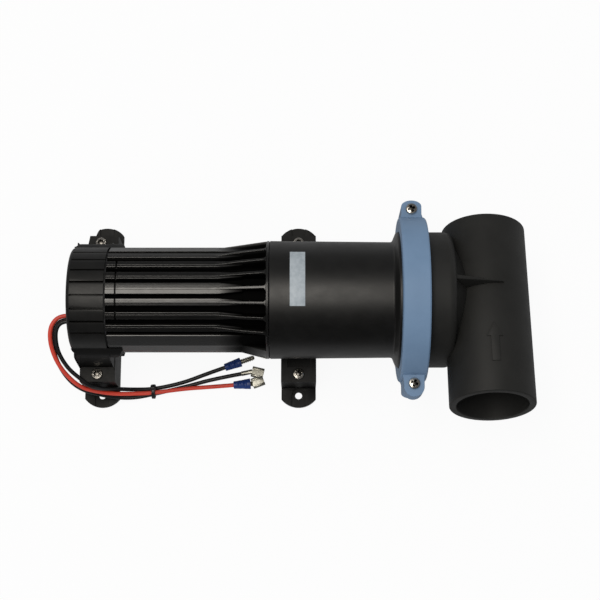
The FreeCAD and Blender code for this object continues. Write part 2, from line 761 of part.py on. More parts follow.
def tie_bolts():
    """Four long bolts from the end cap through the cover into the housing."""
    head_x = "cap_back_x + screw_head_height / 2"
    length = "cover_front_x + frame_flange_thick + tie_boss_length - 2 - (%s)" % head_x
    shanks = tie_cylinders("tie_shank", "screw_radius", head_x, length)
    heads = tie_cylinders("tie_head", "screw_head_radius", head_x + " - screw_head_height",
                          "screw_head_height")
    bolts = [fuse("tie_bolt_%d" % n, shank, head) for n, (shank, head) in enumerate(zip(shanks, heads))]
    finish(group("tie_bolts", *bolts), "tie_bolts")


# Pump head: a dome over the chamber, with a pipe across its front.
def pump_head():
    flange_back = "ring_x + ring_lip + flange_thick + bead_thick + head_fit"
    flange_front = "ring_x + ring_width - ring_lip - head_fit"
    outline = [(flange_back, 0), (flange_back, "flange_radius"), (flange_front, "flange_radius"),
               (flange_front, "dome_radius"), ("dome_front_x", "dome_radius"), ("dome_front_x", 0)]
    dome = revolved("dome", outline)
    round_rim(dome, "dome_round", size("dome_front_x"))
    neck = cone("head_neck", "neck_back_radius", "neck_front_radius", "(pipe_x - dome_front_x) / 2 + 0.5",
                "dome_front_x - 0.5")
    pipe = pipe_solid()
    web_outline = [("dome_front_x - 4", 0), ("dome_front_x - 4", "web_dome_height"),
                   ("dome_front_x", "web_dome_height"), ("web_front_x", "pipe_radius + web_rise - 1"),
                   ("web_front_x", 0)]
    web = padded("head_web", "XZ_Plane", web_outline, "web_thick", 0, 0, 0)
    arrow = flow_arrow()
    chamber = cylinder("chamber", "flange_bore_radius", "chamber_front_x - ring_x", "ring_x")
    port = cylinder("chamber_port", "port_radius", "pipe_x - chamber_front_x + 1", "chamber_front_x - 1")
    bore = cylinder("pipe_bore", "pipe_inner_radius", "pipe_far_y - pipe_near_y + 2", "pipe_x",
                    "pipe_near_y - 1", 0, ALONG_Y)
    near = cylinder("inlet_socket", "pipe_bore_radius", "inlet_socket_depth + 1", "pipe_x",
                    "pipe_near_y - 1", 0, ALONG_Y)
    far = cylinder("outlet_socket", "pipe_bore_radius", "outlet_socket_depth + 1", "pipe_x",
                   "pipe_far_y - outlet_socket_depth", 0, ALONG_Y)
    finish(cut("pump_head", fuse("head_solid", dome, neck, pipe, web, arrow), chamber, port, bore, near, far),
           "pump_head", turned=True)


def pipe_solid():
    middle = cylinder("pipe_middle", "pipe_radius", "pipe_far_y - pipe_near_y - 2 * pipe_chamfer", "pipe_x",
                      "pipe_near_y + pipe_chamfer", 0, ALONG_Y)
    near = cone("pipe_near_edge", "pipe_radius - pipe_chamfer", "pipe_radius", "pipe_chamfer", "pipe_x",
                "pipe_near_y", 0, ALONG_Y)
    far = cone("pipe_far_edge", "pipe_radius", "pipe_radius - pipe_chamfer", "pipe_chamfer", "pipe_x",
               "pipe_far_y - pipe_chamfer", 0, ALONG_Y)
    return fuse("pipe_solid", middle, near, far)


def flow_arrow():
    """A raised arrow on the crown of the pipe, pointing the way the water goes."""
    neck_y = "arrow_tip_y - arrow_head_length"
    corners = [("pipe_x", "arrow_tip_y"), ("pipe_x + arrow_head_width / 2", neck_y),
               ("pipe_x + arrow_shaft_width / 2", neck_y), ("pipe_x + arrow_shaft_width / 2", "arrow_tail_y"),
               ("pipe_x - arrow_shaft_width / 2", "arrow_tail_y"), ("pipe_x - arrow_shaft_width / 2", neck_y),
               ("pipe_x - arrow_head_width / 2", neck_y)]
    slab = padded("arrow_slab", "XY_Plane", corners, "10", 0, 0, "pipe_radius")
    limit = cylinder("arrow_limit", "pipe_radius + arrow_rise", "pipe_far_y - pipe_near_y", "pipe_x",
                     "pipe_near_y", 0, ALONG_Y)
    return common("flow_arrow", slab, limit)


def diaphragm():
    bead_back = "ring_x + ring_lip + flange_thick"
    disc_back = bead_back + " + bead_thick / 2 - diaphragm_thick / 2 - stroke_back"
    disc_front = disc_back + " + diaphragm_thick"
    bead_front = bead_back + " + bead_thick"
    hole = "plate_screw_radius + plate_fit"
    outline = [(bead_back, "bead_radius"), (bead_front, "bead_radius"),
               (bead_front, "convolution_radius"), (disc_front, "plate_radius + 2"), (disc_front, hole),
               (disc_back, hole), (disc_back, "plate_radius + 2.6"), (bead_back, "convolution_radius + 1")]
    finish(revolved("diaphragm", outline), "diaphragm")


def plates_and_rod():
    disc_back = "ring_x + ring_lip + flange_thick + bead_thick / 2 - diaphragm_thick / 2 - stroke_back"
    rear_x = disc_back + " - plate_fit - plate_thick"
    front_x = disc_back + " + diaphragm_thick + plate_fit"
    finish(tube("diaphragm_rear_plate", "plate_radius", "plate_screw_radius", "plate_thick", rear_x),
           "diaphragm_rear_plate")
    finish(tube("diaphragm_front_plate", "plate_radius", "plate_screw_radius", "plate_thick", front_x),
           "diaphragm_front_plate")
    screw_head = cylinder("plate_screw_head", "2 * plate_screw_radius", "plate_screw_radius",
                          front_x + " + plate_thick")
    screw_shank = cylinder("plate_screw_shank", "plate_screw_radius", "plate_screw_length",
                           front_x + " + plate_thick - plate_screw_length")
    finish(fuse("diaphragm_screw", screw_head, screw_shank), "diaphragm_screw")
    pin_x = "worm_x + 3.5 * gear_pitch - crank_throw"
    arm_half = "rod_arm_height / 2"
    corners = [(pin_x, "-wheel_drop + " + arm_half), ("rod_knee_x", "-wheel_drop + " + arm_half),
               ("rod_boss_x", arm_half), ("rod_boss_x + 4", arm_half), ("rod_boss_x + 4", "-" + arm_half),
               ("rod_boss_x", "-" + arm_half), ("rod_knee_x", "-wheel_drop - " + arm_half),
               (pin_x, "-wheel_drop - " + arm_half)]
    arm = padded("rod_arm", "XZ_Plane", corners, "rod_thick", 0, "rod_inner_y + rod_thick / 2", 0)
    eye = cylinder("rod_eye", "rod_end_radius", "rod_thick", pin_x, "rod_inner_y", "-wheel_drop", ALONG_Y)
    boss = box("rod_boss", "rod_boss_x", rear_x, "-rod_boss_radius", "rod_inner_y + rod_thick",
               "-rod_boss_radius", "rod_boss_radius")
    eye_hole = cylinder("rod_eye_hole", "rod_bush_radius", "rod_thick + 2", pin_x, "rod_inner_y - 1",
                        "-wheel_drop", ALONG_Y)
    thread = cylinder("rod_thread", "plate_screw_radius", "plate_screw_length",
                      front_x + " + plate_thick - plate_screw_length")
    finish(cut("connecting_rod", fuse("rod_solid", arm, eye, boss), eye_hole, thread), "connecting_rod")
    finish(tube("rod_bush", "rod_bush_radius", "crank_pin_radius + running_fit", "rod_thick", pin_x,
                "rod_inner_y", "-wheel_drop", ALONG_Y), "rod_bush")


def valve(kind, seat_y):
    """A round seat in the pipe with a rubber flap that hangs from a pin."""
    face_y = seat_y + " + seat_thick"
    disc = cylinder(kind + "_disc", "pipe_inner_radius", "seat_thick", "pipe_x", seat_y, 0, ALONG_Y)
    hole = cylinder(kind + "_hole", "seat_hole_radius", "seat_thick + 2", "pipe_x", seat_y + " - 1", 0,
                    ALONG_Y)
    pin_y = face_y + " + flap_pin_offset"
    inner = "barrel_length / 2 + flap_fit"
    outer = inner + " + seat_lug_width"
    lugs = []
    for n, (a, b) in enumerate(((inner, outer), ("-(%s)" % outer, "-(%s)" % inner))):
        lugs.append(box("%s_lug_%d" % (kind, n), "pipe_x + (%s)" % a, "pipe_x + (%s)" % b, face_y + " - 1",
                        pin_y + " + flap_pin_radius + 1", "flap_pin_height - 2.2", "flap_pin_height + 2.2"))
    pin_hole = cylinder(kind + "_pin_hole", "flap_pin_radius", "2 * (%s) + 2" % outer,
                        "pipe_x - (%s) - 1" % outer, pin_y, "flap_pin_height")
    seat = cut(kind + "_valve_seat", fuse(kind + "_seat_solid", disc, *lugs), hole, pin_hole)
    finish(seat, kind + "_valve_seat", turned=True)
    pin_solid = cylinder(kind + "_pin_solid", "flap_pin_radius", "2 * (%s)" % outer,
                         "pipe_x - (%s)" % outer, pin_y, "flap_pin_height")
    finish(group(kind + "_flap_pin", pin_solid), kind + "_flap_pin", turned=True)
    flap_y = face_y + " + flap_fit"
    flap_disc = cylinder(kind + "_flap_disc", "flap_radius", "flap_thick", "pipe_x", flap_y, 0, ALONG_Y)
    tab = box(kind + "_flap_tab", "pipe_x - barrel_length / 2", "pipe_x + barrel_length / 2", flap_y,
              flap_y + " + flap_thick", "flap_radius - 3", "flap_pin_height")
    barrel = cylinder(kind + "_flap_barrel", "barrel_radius", "barrel_length", "pipe_x - barrel_length / 2",
                      pin_y, "flap_pin_height")
    swing = cylinder(kind + "_flap_bore", "flap_pin_radius + running_fit", "barrel_length + 2",
                     "pipe_x - barrel_length / 2 - 1", pin_y, "flap_pin_height")
    finish(cut(kind + "_flap", fuse(kind + "_flap_solid", flap_disc, tab, barrel), swing), kind + "_flap",
           turned=True)


# Motor
def motor():
    can_length = "cover_front_x - can_back_x"
    outer = cylinder("can_outer", "can_radius", can_length, "can_back_x")
    inner = cylinder("can_inner", "can_radius - can_wall", can_length + " - can_wall", "can_back_x")
    nose = cylinder("can_nose", "bush_radius", "2 * can_wall", "cover_front_x - can_wall")
    finish(cut("motor_can", outer, inner, nose), "motor_can")
    bell_x = "can_back_x - bell_thick"
    bell = tube("end_bell", "can_radius", "bush_radius", "bell_thick", bell_x)
    finish(bell, "end_bell")
    bore = "shaft_radius + running_fit"
    finish(tube("motor_rear_bush", "bush_radius", bore, "bush_length", bell_x), "motor_rear_bush")
    finish(tube("motor_front_bush", "bush_radius", bore, "frame_flange_thick + can_wall",
                "cover_front_x - can_wall"), "motor_front_bush")
    finish(cylinder("motor_shaft", "shaft_radius", "frame_end_x - 1 - shaft_back_x", "shaft_back_x"),
           "motor_shaft")
    core = tube("core_solid", "core_radius", "shaft_radius", "core_length", "core_back_x")
    slots = []
    bars = []
    for n in range(int(size("slot_count"))):
        angle = 360.0 * n / size("slot_count")
        slots.append(radial_box("core_slot_%d" % n, "core_back_x - 1", "core_back_x + core_length + 1",
                                "tooth_slot_width", "core_radius + 1", angle))
        bars.append(radial_box("coil_bar_%d" % n, "core_back_x", "core_back_x + core_length",
                               "tooth_slot_width", "winding_radius", angle))
    slot_floor = cylinder("core_slot_floor", "core_radius - tooth_slot_depth", "core_length + 4",
                          "core_back_x - 2")
    finish(cut("armature_core", core, cut("core_slots", fuse("core_slot_blades", *slots), slot_floor)),
           "armature_core")
    bar_floor = cylinder("coil_floor", "core_radius - tooth_slot_depth", "core_length + 4", "core_back_x - 2")
    ends = [tube("coil_end_%d" % n, "winding_radius", "shaft_radius", "winding_overhang", x)
            for n, x in enumerate(("core_back_x - winding_overhang", "core_back_x + core_length"))]
    finish(fuse("armature_windings", cut("coil_bars", fuse("coil_blades", *bars), bar_floor), *ends),
           "armature_windings")
    finish(tube("commutator", "commutator_radius", "shaft_radius", "commutator_length", "commutator_x"),
           "commutator")
    magnets()
    brushes()


def magnets():
    inner = "core_radius + magnet_gap"
    outer = "can_radius - can_wall"
    halves = []
    for n, side in enumerate((1, -1)):
        low, high = ("4", outer) if side > 0 else ("-(%s)" % outer, "-4")
        block = box("magnet_side_%d" % n, "core_back_x", "core_back_x + core_length", "-(%s)" % outer, outer,
                    low, high)
        ring = tube("magnet_ring_%d" % n, outer, inner, "core_length", "core_back_x")
        halves.append(common("magnet_%d" % n, ring, block))
    finish(group("magnets", *halves), "magnets")


def brushes():
    middle = "commutator_x + commutator_length / 2"
    near = "commutator_radius + brush_gap"
    half = "brush_width / 2"
    can_inside = "can_radius - can_wall"
    carbons = []
    springs = []
    blocks = []
    pockets = []
    for n, side in enumerate((1, -1)):
        carbons.append(side_box("brush_%d" % n, middle + " - " + half, middle + " + " + half, near,
                                near + " + brush_length", "-" + half, half, side))
        pockets.append(side_box("brush_pocket_%d" % n, middle + " - " + half, middle + " + " + half,
                                "holder_bore_radius - 1", can_inside, "-" + half, half, side))
        blocks.append(side_box("brush_block_%d" % n, "commutator_x - holder_thick", middle + " + brush_width",
                               "holder_bore_radius", can_inside + " - 1.5", "-0.9 * brush_width",
                               "0.9 * brush_width", side))
        reach = can_inside + " - brush_gap"
        y = near + " + brush_length" if side > 0 else "-(%s)" % reach
        springs.append(tube("brush_spring_%d" % n, "0.4 * brush_width", "0.25 * brush_width",
                            reach + " - (%s) - brush_length" % near, middle, y, 0, ALONG_Y))
    plate = tube("holder_plate", can_inside, "holder_bore_radius", "holder_thick",
                 "commutator_x - holder_thick")
    finish(cut("brush_holder", fuse("holder_solid", plate, *blocks), *pockets), "brush_holder")
    finish(group("brushes", *carbons), "brushes")
    finish(group("brush_springs", *springs), "brush_springs")


# Gear frame and worm drive
def gear_frame():
    flange = cylinder("frame_flange", "housing_bore_radius - frame_fit", "frame_flange_thick",
                      "cover_front_x")
    cheek = box("frame_cheek", "cover_front_x", "frame_end_x", "-cheek_outer_y", "-cheek_inner_y",
                "-cheek_bottom", "cheek_top")
    end = box("frame_end", "frame_end_x - frame_end_thick", "frame_end_x", "-cheek_outer_y", "end_wall_y",
              "-cheek_top", "cheek_top")
    nose = cylinder("frame_nose", "bush_radius", "frame_flange_thick + 2", "cover_front_x - 1")
    end_hole = cylinder("frame_end_hole", "end_bush_radius", "frame_end_thick + 2",
                        "frame_end_x - frame_end_thick - 1")
    axle_hole = cylinder("frame_axle_hole", "bush_radius", "cheek_outer_y", "worm_x + 3.5 * gear_pitch",
                         "-cheek_outer_y - 1", "-wheel_drop", ALONG_Y)
    bolts = tie_cylinders("frame_bolt_hole", "screw_radius", "cover_front_x - 1", "frame_flange_thick + 2")
    finish(cut("gear_frame", fuse("frame_solid", flange, cheek, end), nose, end_hole, axle_hole, *bolts),
           "gear_frame")
    finish(tube("shaft_end_bush", "end_bush_radius", "shaft_radius + running_fit", "frame_end_thick",
                "frame_end_x - frame_end_thick"), "shaft_end_bush")
    finish(tube("axle_bush", "bush_radius", "shaft_radius + running_fit", "cheek_outer_y - cheek_inner_y",
                "worm_x + 3.5 * gear_pitch", "-cheek_outer_y", "-wheel_drop", ALONG_Y), "axle_bush")


def worm():
    """A worm: a core on the shaft with one helical thread."""
    pitch = size("gear_pitch")
    root = size("worm_root_radius")
    tip = size("worm_tip_radius")
    length = size("worm_length")
    turns = math.floor((length - 2 * pitch) / pitch)
    start = size("gear_pitch")
    sink = 0.3
    helix = Part.makeHelix(pitch, turns * pitch, root)
    half_root = size("thread_root_width") / 2
    half_tip = size("thread_tip_width") / 2
    corners = [FreeCAD.Vector(root - sink, 0, -half_root), FreeCAD.Vector(tip, 0, -half_tip),
               FreeCAD.Vector(tip, 0, half_tip), FreeCAD.Vector(root - sink, 0, half_root)]
    outline = Part.makePolygon(corners + corners[:1])
    thread = Part.Wire(helix).makePipeShell([outline], True, True)
    thread.translate(FreeCAD.Vector(0, 0, start))
    core = Part.makeCylinder(root, length)
    bore = Part.makeCylinder(size("shaft_radius"), length)
    solid = core.fuse(thread).cut(bore)
    obj = doc.addObject("Part::Feature", "worm")
    obj.Shape = solid
    put(obj, "worm_x", 0, 0, ALONG_X)
    print("worm thread valid", thread.isValid(), "solids", len(solid.Solids))
    finish(obj, "worm")


def worm_wheel():
    """A toothed wheel with straight trapezoid teeth."""
    root = size("wheel_root_radius")
    tip = size("wheel_tip_radius")
    width = size("wheel_width")
    half_root = size("tooth_root_width") / 2
    half_tip = size("tooth_tip_width") / 2
    blank = Part.makeCylinder(root, width)
    corners = [FreeCAD.Vector(root - 1, -half_root, 0), FreeCAD.Vector(tip, -half_tip, 0),
               FreeCAD.Vector(tip, half_tip, 0), FreeCAD.Vector(root - 1, half_root, 0)]
    tooth = Part.Face(Part.makePolygon(corners + corners[:1])).extrude(FreeCAD.Vector(0, 0, width))
    count = int(size("gear_teeth"))
    teeth = []
    for n in range(count):
        copy = tooth.copy()
        copy.rotate(FreeCAD.Vector(0, 0, 0), FreeCAD.Vector(0, 0, 1), 360.0 * n / count)
        teeth.append(copy)
    bore = Part.makeCylinder(size("shaft_radius"), width)
    pin_spot = FreeCAD.Vector(-size("crank_throw"), 0, width / 2)
    socket = Part.makeCylinder(size("crank_pin_radius"), width, pin_spot)
    obj = doc.addObject("Part::Feature", "worm_wheel")
    obj.Shape = blank.fuse(teeth).cut(bore).cut(socket)
    put(obj, "worm_x + 3.5 * gear_pitch", "-wheel_width / 2", "-wheel_drop", ALONG_Y)
    finish(obj, "worm_wheel")
    axle_length = "axle_back_y - foot_fit"
    finish(cylinder("wheel_axle", "shaft_radius", axle_length, "worm_x + 3.5 * gear_pitch",
                    "-axle_back_y", "-wheel_drop", ALONG_Y), "wheel_axle")
    pin_x = "worm_x + 3.5 * gear_pitch - crank_throw"
    finish(cylinder("crank_pin", "crank_pin_radius", "rod_inner_y + rod_thick + 0.6", pin_x, 0,
                    "-wheel_drop", ALONG_Y), "crank_pin")


def seal_and_grommet():
    gap = "cover_back_x - cap_front_x"
    finish(tube("cover_seal", "seal_radius", "cover_bore_radius", gap, "cap_front_x"), "cover_seal")
    plug = cylinder("grommet_plug", "grommet_radius - grommet_lip", "cap_end_wall", "cap_back_x",
                    "wire_exit_y", "wire_exit_z")
    lip = cylinder("grommet_lip_disc", "grommet_radius", "grommet_lip", "cap_back_x - grommet_lip",
                   "wire_exit_y", "wire_exit_z")
    finish(fuse("cable_grommet", plug, lip), "cable_grommet")


def fitted(route):
    """The route with its heights drawn to the height of the pump's axis."""
    share = size("axis_height") / 60.5
    return [(x, y, z * share) for x, y, z in route]


# Wires: each route is a list of chosen points, from the grommet to its terminal.
RED_ROUTE = fitted([
    (-87.4, -9.9, 55.2), (-94.0, -9.9, 55.2), (-100.0, -13.3, 54.8), (-103.3, -20.5, 53.0),
    (-102.5, -32.0, 48.5), (-96.5, -45.5, 42.0), (-84.5, -57.0, 33.0), (-73.0, -58.9, 23.0),
    (-61.0, -59.1, 13.5), (-48.0, -58.2, 9.0), (-34.0, -57.4, 7.3), (-12.0, -54.0, 5.4),
    (7.0, -52.4, 3.3), (24.0, -51.0, 3.3)])
UPPER_BLACK_ROUTE = fitted([
    (-87.4, -14.1, 55.2), (-92.5, -14.1, 55.2), (-97.3, -16.6, 54.4), (-99.4, -22.6, 52.0),
    (-98.2, -34.0, 47.0), (-91.5, -45.0, 41.5), (-83.5, -51.5, 38.0), (-76.5, -56.8, 34.0),
    (-69.0, -57.0, 23.0), (-61.0, -55.4, 13.5), (-48.0, -54.9, 7.0), (-34.0, -54.2, 4.3),
    (-13.0, -49.4, 3.0), (4.5, -42.6, 3.3), (17.5, -38.0, 3.3)])
MIDDLE_BLACK_ROUTE = fitted([
    (-87.4, -12.0, 51.4), (-94.0, -12.0, 51.4), (-99.6, -15.7, 50.0), (-102.5, -23.0, 46.5),
    (-101.0, -37.5, 38.5), (-93.5, -50.5, 29.5), (-84.5, -57.2, 21.5), (-73.0, -59.4, 13.5),
    (-61.0, -60.9, 8.0), (-48.0, -60.8, 5.4), (-34.0, -57.8, 4.1), (-10.0, -51.8, 2.2),
    (9.0, -46.4, 2.4), (29.7, -42.5, 2.4)])


def wire(label, route):
    """A round wire of straight runs joined by arcs as large as the runs allow."""
    points = [FreeCAD.Vector(*p) for p in route]
    radius = size("wire_radius")
    edges = []
    start = points[0]
    radii = []
    for before, corner, after in zip(points, points[1:], points[2:]):
        into = (corner - before).normalize()
        out = (after - corner).normalize()
        turn = into.getAngle(out)
        reach = 0.45 * min(corner.distanceToPoint(before), corner.distanceToPoint(after))
        radii.append(round(reach / math.tan(turn / 2), 1))
        first = corner - into * reach
        last = corner + out * reach
        inward = ((last - corner) + (first - corner)).normalize()
        arc_radius = reach / math.tan(turn / 2)
        centre = corner + inward * math.hypot(arc_radius, reach)
        middle = centre - inward * arc_radius
        edges.append(Part.LineSegment(start, first).toShape())
        edges.append(Part.Arc(first, middle, last).toShape())
        start = last
    edges.append(Part.LineSegment(start, points[-1]).toShape())
    path = Part.Wire(edges)
    section = Part.Wire(Part.makeCircle(radius, points[0], points[1] - points[0]))
    solid = path.makePipeShell([section], True, False)
    expected = math.pi * radius ** 2 * path.Length
    print(label, "length", round(path.Length, 1), "volume ratio", round(solid.Volume / expected, 4),
          "radii", radii)
    obj = doc.addObject("Part::Feature", label)
    obj.Shape = solid
    finish(obj, label)


def heading(route):
    """The flat direction of a route's last run, in degrees from +X."""
    (x_0, y_0, _), (x_1, y_1, _) = route[-2:]
    return math.degrees(math.atan2(y_1 - y_0, x_1 - x_0))


def lay(obj, route, along, across=0, up=0, base=ALONG_X):
    """Place a terminal's piece beyond the end of a route, along its flat heading."""
    angle = math.radians(heading(route))
    x, y, z = route[-1]
    turn = FreeCAD.Rotation(FreeCAD.Vector(0, 0, 1), heading(route)) * base
    spot = FreeCAD.Vector(x + along * math.cos(angle) - across * math.sin(angle),
                          y + along * math.sin(angle) + across * math.cos(angle), z + up)
    obj.Placement = FreeCAD.Placement(spot, turn)
    return obj


def terminal_rod(name, radius, length, route, along):
    rod = doc.addObject("Part::Cylinder", name)
    bind(rod, "Radius", radius)
    bind(rod, "Height", length)
    return lay(rod, route, along)


def blade(name, route, along, barrel_radius, barrel_length):
    """A flat push-on blade with a round barrel behind it."""
    flat = doc.addObject("Part::Box", name + "_flat")
    bind(flat, "Length", "blade_length")
    bind(flat, "Width", "blade_width")
    bind(flat, "Height", "blade_thick")
    lay(flat, route, along + size(barrel_length), -size("blade_width") / 2, 0, ALONG_Z)
    barrel = terminal_rod(name + "_barrel", barrel_radius, barrel_length + " + blade_thick", route, along)
    return fuse(name, flat, barrel)


def terminals():
    crimp = size("crimp_length")
    finish(terminal_rod("red_crimp", "crimp_radius", "crimp_length", RED_ROUTE, 0), "red_crimp_sleeve")
    finish(terminal_rod("black_crimp", "crimp_radius", "crimp_length", UPPER_BLACK_ROUTE, 0),
           "black_crimp_sleeve")
    finish(terminal_rod("pin", "pin_radius", "pin_length", UPPER_BLACK_ROUTE, crimp), "pin_terminal")
    finish(blade("spade_terminal", RED_ROUTE, crimp, "blade_barrel_radius", "blade_barrel_length"),
           "spade_terminal")
    finish(blade("tab_terminal", MIDDLE_BLACK_ROUTE, 0, "strand_radius", "strand_length"), "tab_terminal")


def cable_tie():
    band = cylinder("tie_band_outer", "tie_radius + tie_band", "tie_width", "tie_x - tie_width / 2", "tie_y",
                    "tie_height - axis_height")
    hole = cylinder("tie_band_inner", "tie_radius", "tie_width + 2", "tie_x - tie_width / 2 - 1", "tie_y",
                    "tie_height - axis_height")
    head = box("tie_head_block", "tie_x - tie_width * 0.8", "tie_x + tie_width * 0.8", "tie_y - 2.3",
               "tie_y + 2.3", "tie_height + tie_radius - 0.8 - axis_height",
               "tie_height + tie_radius + 3.4 - axis_height")
    finish(cut("cable_tie", fuse("tie_solid", band, head), hole), "cable_tie")


motor_cover()
end_cap()
seal_and_grommet()
pump_housing()
foot("rear_left_foot", "-foot_x", 1, "cover_radius")
foot("rear_right_foot", "-foot_x", -1, "cover_radius")
foot("front_left_foot", "foot_x", 1, "housing_radius")
foot("front_right_foot", "foot_x", -1, "housing_radius")
foot_screws()
tie_bolts()
clamp_ring_half("clamp_ring_upper", 1)
clamp_ring_half("clamp_ring_lower", -1)
clamp_fasteners()
pump_head()
diaphragm()
plates_and_rod()
valve("inlet", "inlet_seat_y")
valve("outlet", "outlet_seat_y")
motor()
gear_frame()
worm()
worm_wheel()
wire("red_wire", RED_ROUTE)
wire("upper_black_wire", UPPER_BLACK_ROUTE)
wire("middle_black_wire", MIDDLE_BLACK_ROUTE)
terminals()
cable_tie()
doc.recompute()

for obj in doc.Objects:
    if "Invalid" in obj.State or "Error" in obj.State:
        raise RuntimeError("%s failed to compute" % obj.Name)
for obj in pieces:
    if obj.Shape.isNull() or not obj.Shape.isValid():
        raise RuntimeError("%s has no valid shape" % obj.Label)
os.makedirs("parts", exist_ok=True)
for obj in pieces:
    obj.Shape.exportStep("parts/%s.step" % obj.Label)
    print(obj.Label, len(obj.Shape.Solids), round(obj.Shape.Volume, 1))
print(len(pieces), "pieces")
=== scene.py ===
# %% [markdown]
# # A diaphragm waste pump, seen from above
# The solids of the pump come from its CAD model, and this lesson gives them the
# look of the real thing: moulded black plastic, a blue-grey clamp ring, three
# loose wires and a few stainless screws. Every new piece is a surface worked out
# with numpy, in metres, in the same frame as the solids.

# %% Load the solids
import json
import math

import bmesh
import bpy
import numpy as np
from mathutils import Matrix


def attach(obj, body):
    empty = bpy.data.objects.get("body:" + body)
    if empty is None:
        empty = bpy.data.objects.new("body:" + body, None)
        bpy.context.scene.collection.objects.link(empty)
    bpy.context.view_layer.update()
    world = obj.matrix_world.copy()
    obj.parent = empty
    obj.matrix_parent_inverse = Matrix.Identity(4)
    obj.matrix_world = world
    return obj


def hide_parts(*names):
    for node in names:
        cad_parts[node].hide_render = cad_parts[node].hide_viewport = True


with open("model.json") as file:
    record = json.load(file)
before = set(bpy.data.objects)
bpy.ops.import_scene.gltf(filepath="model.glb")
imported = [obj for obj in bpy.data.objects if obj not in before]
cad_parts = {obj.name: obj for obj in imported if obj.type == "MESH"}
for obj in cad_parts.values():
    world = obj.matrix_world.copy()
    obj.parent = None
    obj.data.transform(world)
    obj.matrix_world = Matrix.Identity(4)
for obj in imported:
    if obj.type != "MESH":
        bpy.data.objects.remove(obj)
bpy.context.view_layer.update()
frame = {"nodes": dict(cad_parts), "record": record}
MM = 0.001
AXIS = 60.5  # the pump's axis over the floor, in millimetres
AXIS_Z = AXIS / 1000  # the same in metres
print("solids:", len(frame["nodes"]))

# %% [markdown]
# ## The camera
# The photograph looks down on the pump from almost straight above, tipped a little
# towards the side with the wires. A long lens keeps the pipe and the feet nearly
# in parallel. The pump's axis crosses the middle of the picture.

# %% Camera


def new_object(name, data):
    """An object at the origin that holds a mesh, a curve, a lens or a lamp."""
    made = bpy.data.objects.new(name, data)
    bpy.context.scene.collection.objects.link(made)
    return made


ELEVATION = math.radians(77.5)
TARGET = np.array([0.0725, 0.0, AXIS_Z])
DISTANCE = 1.0
SENSOR_MM, FOCAL_PIXELS, FRAME_PIXELS = 36.0, 1430.0, 600.0

lens = bpy.data.cameras.new("photo_lens")
lens.sensor_width = SENSOR_MM
lens.lens = FOCAL_PIXELS / FRAME_PIXELS * SENSOR_MM
lens.clip_start = 0.01
camera = new_object("photo_camera", lens)
from_target = np.array([0.0, -math.cos(ELEVATION), math.sin(ELEVATION)])
camera.location = TARGET + DISTANCE * from_target
camera.rotation_euler = (math.pi / 2 - ELEVATION, 0.0, 0.0)
bpy.context.scene.camera = camera
print("camera:", [round(v, 3) for v in camera.location])

# %% [markdown]
# ## The wires
# Three thin wires leave a grommet in the end cap, turn down round its corner and
# lie beside the motor up to their terminals. A wire bends smoothly, so each one is
# a single NURBS curve of order 3 with a handful of control points, and Blender
# gives it a round section. The points are in millimetres.

# %% Wires
WIRE_RADIUS = 1.5 * MM
RED_ROUTE = [
    (-87.4, -9.9, 55.2), (-94.0, -9.9, 55.2), (-100.0, -13.3, 54.8), (-103.3, -20.5, 53.0),
    (-102.5, -32.0, 48.5), (-96.5, -45.5, 42.0), (-84.5, -57.0, 33.0), (-73.0, -58.9, 23.0),
    (-61.0, -59.1, 13.5), (-48.0, -58.2, 9.0), (-34.0, -57.4, 7.3), (-12.0, -54.0, 5.4),
    (7.0, -52.4, 3.3), (24.0, -51.0, 3.3)]
UPPER_BLACK_ROUTE = [
    (-87.4, -14.1, 55.2), (-92.5, -14.1, 55.2), (-97.3, -16.6, 54.4), (-99.4, -22.6, 52.0),
    (-98.2, -34.0, 47.0), (-91.5, -45.0, 41.5), (-83.5, -51.5, 38.0), (-76.5, -56.8, 34.0),
    (-69.0, -57.0, 23.0), (-61.0, -55.4, 13.5), (-48.0, -54.9, 7.0), (-34.0, -54.2, 4.3),
    (-13.0, -49.4, 3.0), (4.5, -42.6, 3.3), (17.5, -38.0, 3.3)]
MIDDLE_BLACK_ROUTE = [
    (-87.4, -12.0, 51.4), (-94.0, -12.0, 51.4), (-99.6, -15.7, 50.0), (-102.5, -23.0, 46.5),
    (-101.0, -37.5, 38.5), (-93.5, -50.5, 29.5), (-84.5, -57.2, 21.5), (-73.0, -59.4, 13.5),
    (-61.0, -60.9, 8.0), (-48.0, -60.8, 5.4), (-34.0, -57.8, 4.1), (-10.0, -51.8, 2.2),
    (9.0, -46.4, 2.4), (29.7, -42.5, 2.4)]


def wire_curve(name, route):
    """A NURBS curve whose control points are the route's, with a round section along it."""
    curve = bpy.data.curves.new(name, "CURVE")
    curve.dimensions = "3D"
    curve.bevel_depth = WIRE_RADIUS
    curve.bevel_resolution = 5
    curve.use_fill_caps = True
    curve.resolution_u = 10
    spline = curve.splines.new("NURBS")
    spline.points.add(len(route) - 1)
    for point, place in zip(spline.points, route):
        point.co = (place[0] * MM, place[1] * MM, place[2] * MM, 1.0)
    spline.order_u = 3
    spline.use_endpoint_u = True
    return new_object(name, curve)


red_wire = wire_curve("red_supply_wire", RED_ROUTE)
upper_wire = wire_curve("black_return_wire", UPPER_BLACK_ROUTE)
middle_wire = wire_curve("black_middle_wire", MIDDLE_BLACK_ROUTE)
# Each wire, the solid it stands for, its route and its real length in metres
WIRES = [(red_wire, "red_wire", RED_ROUTE, 0.185),
         (upper_wire, "upper_black_wire", UPPER_BLACK_ROUTE, 0.172),
         (middle_wire, "middle_black_wire", MIDDLE_BLACK_ROUTE, 0.190)]
print("wires:", [wire.name for wire, *_ in WIRES])

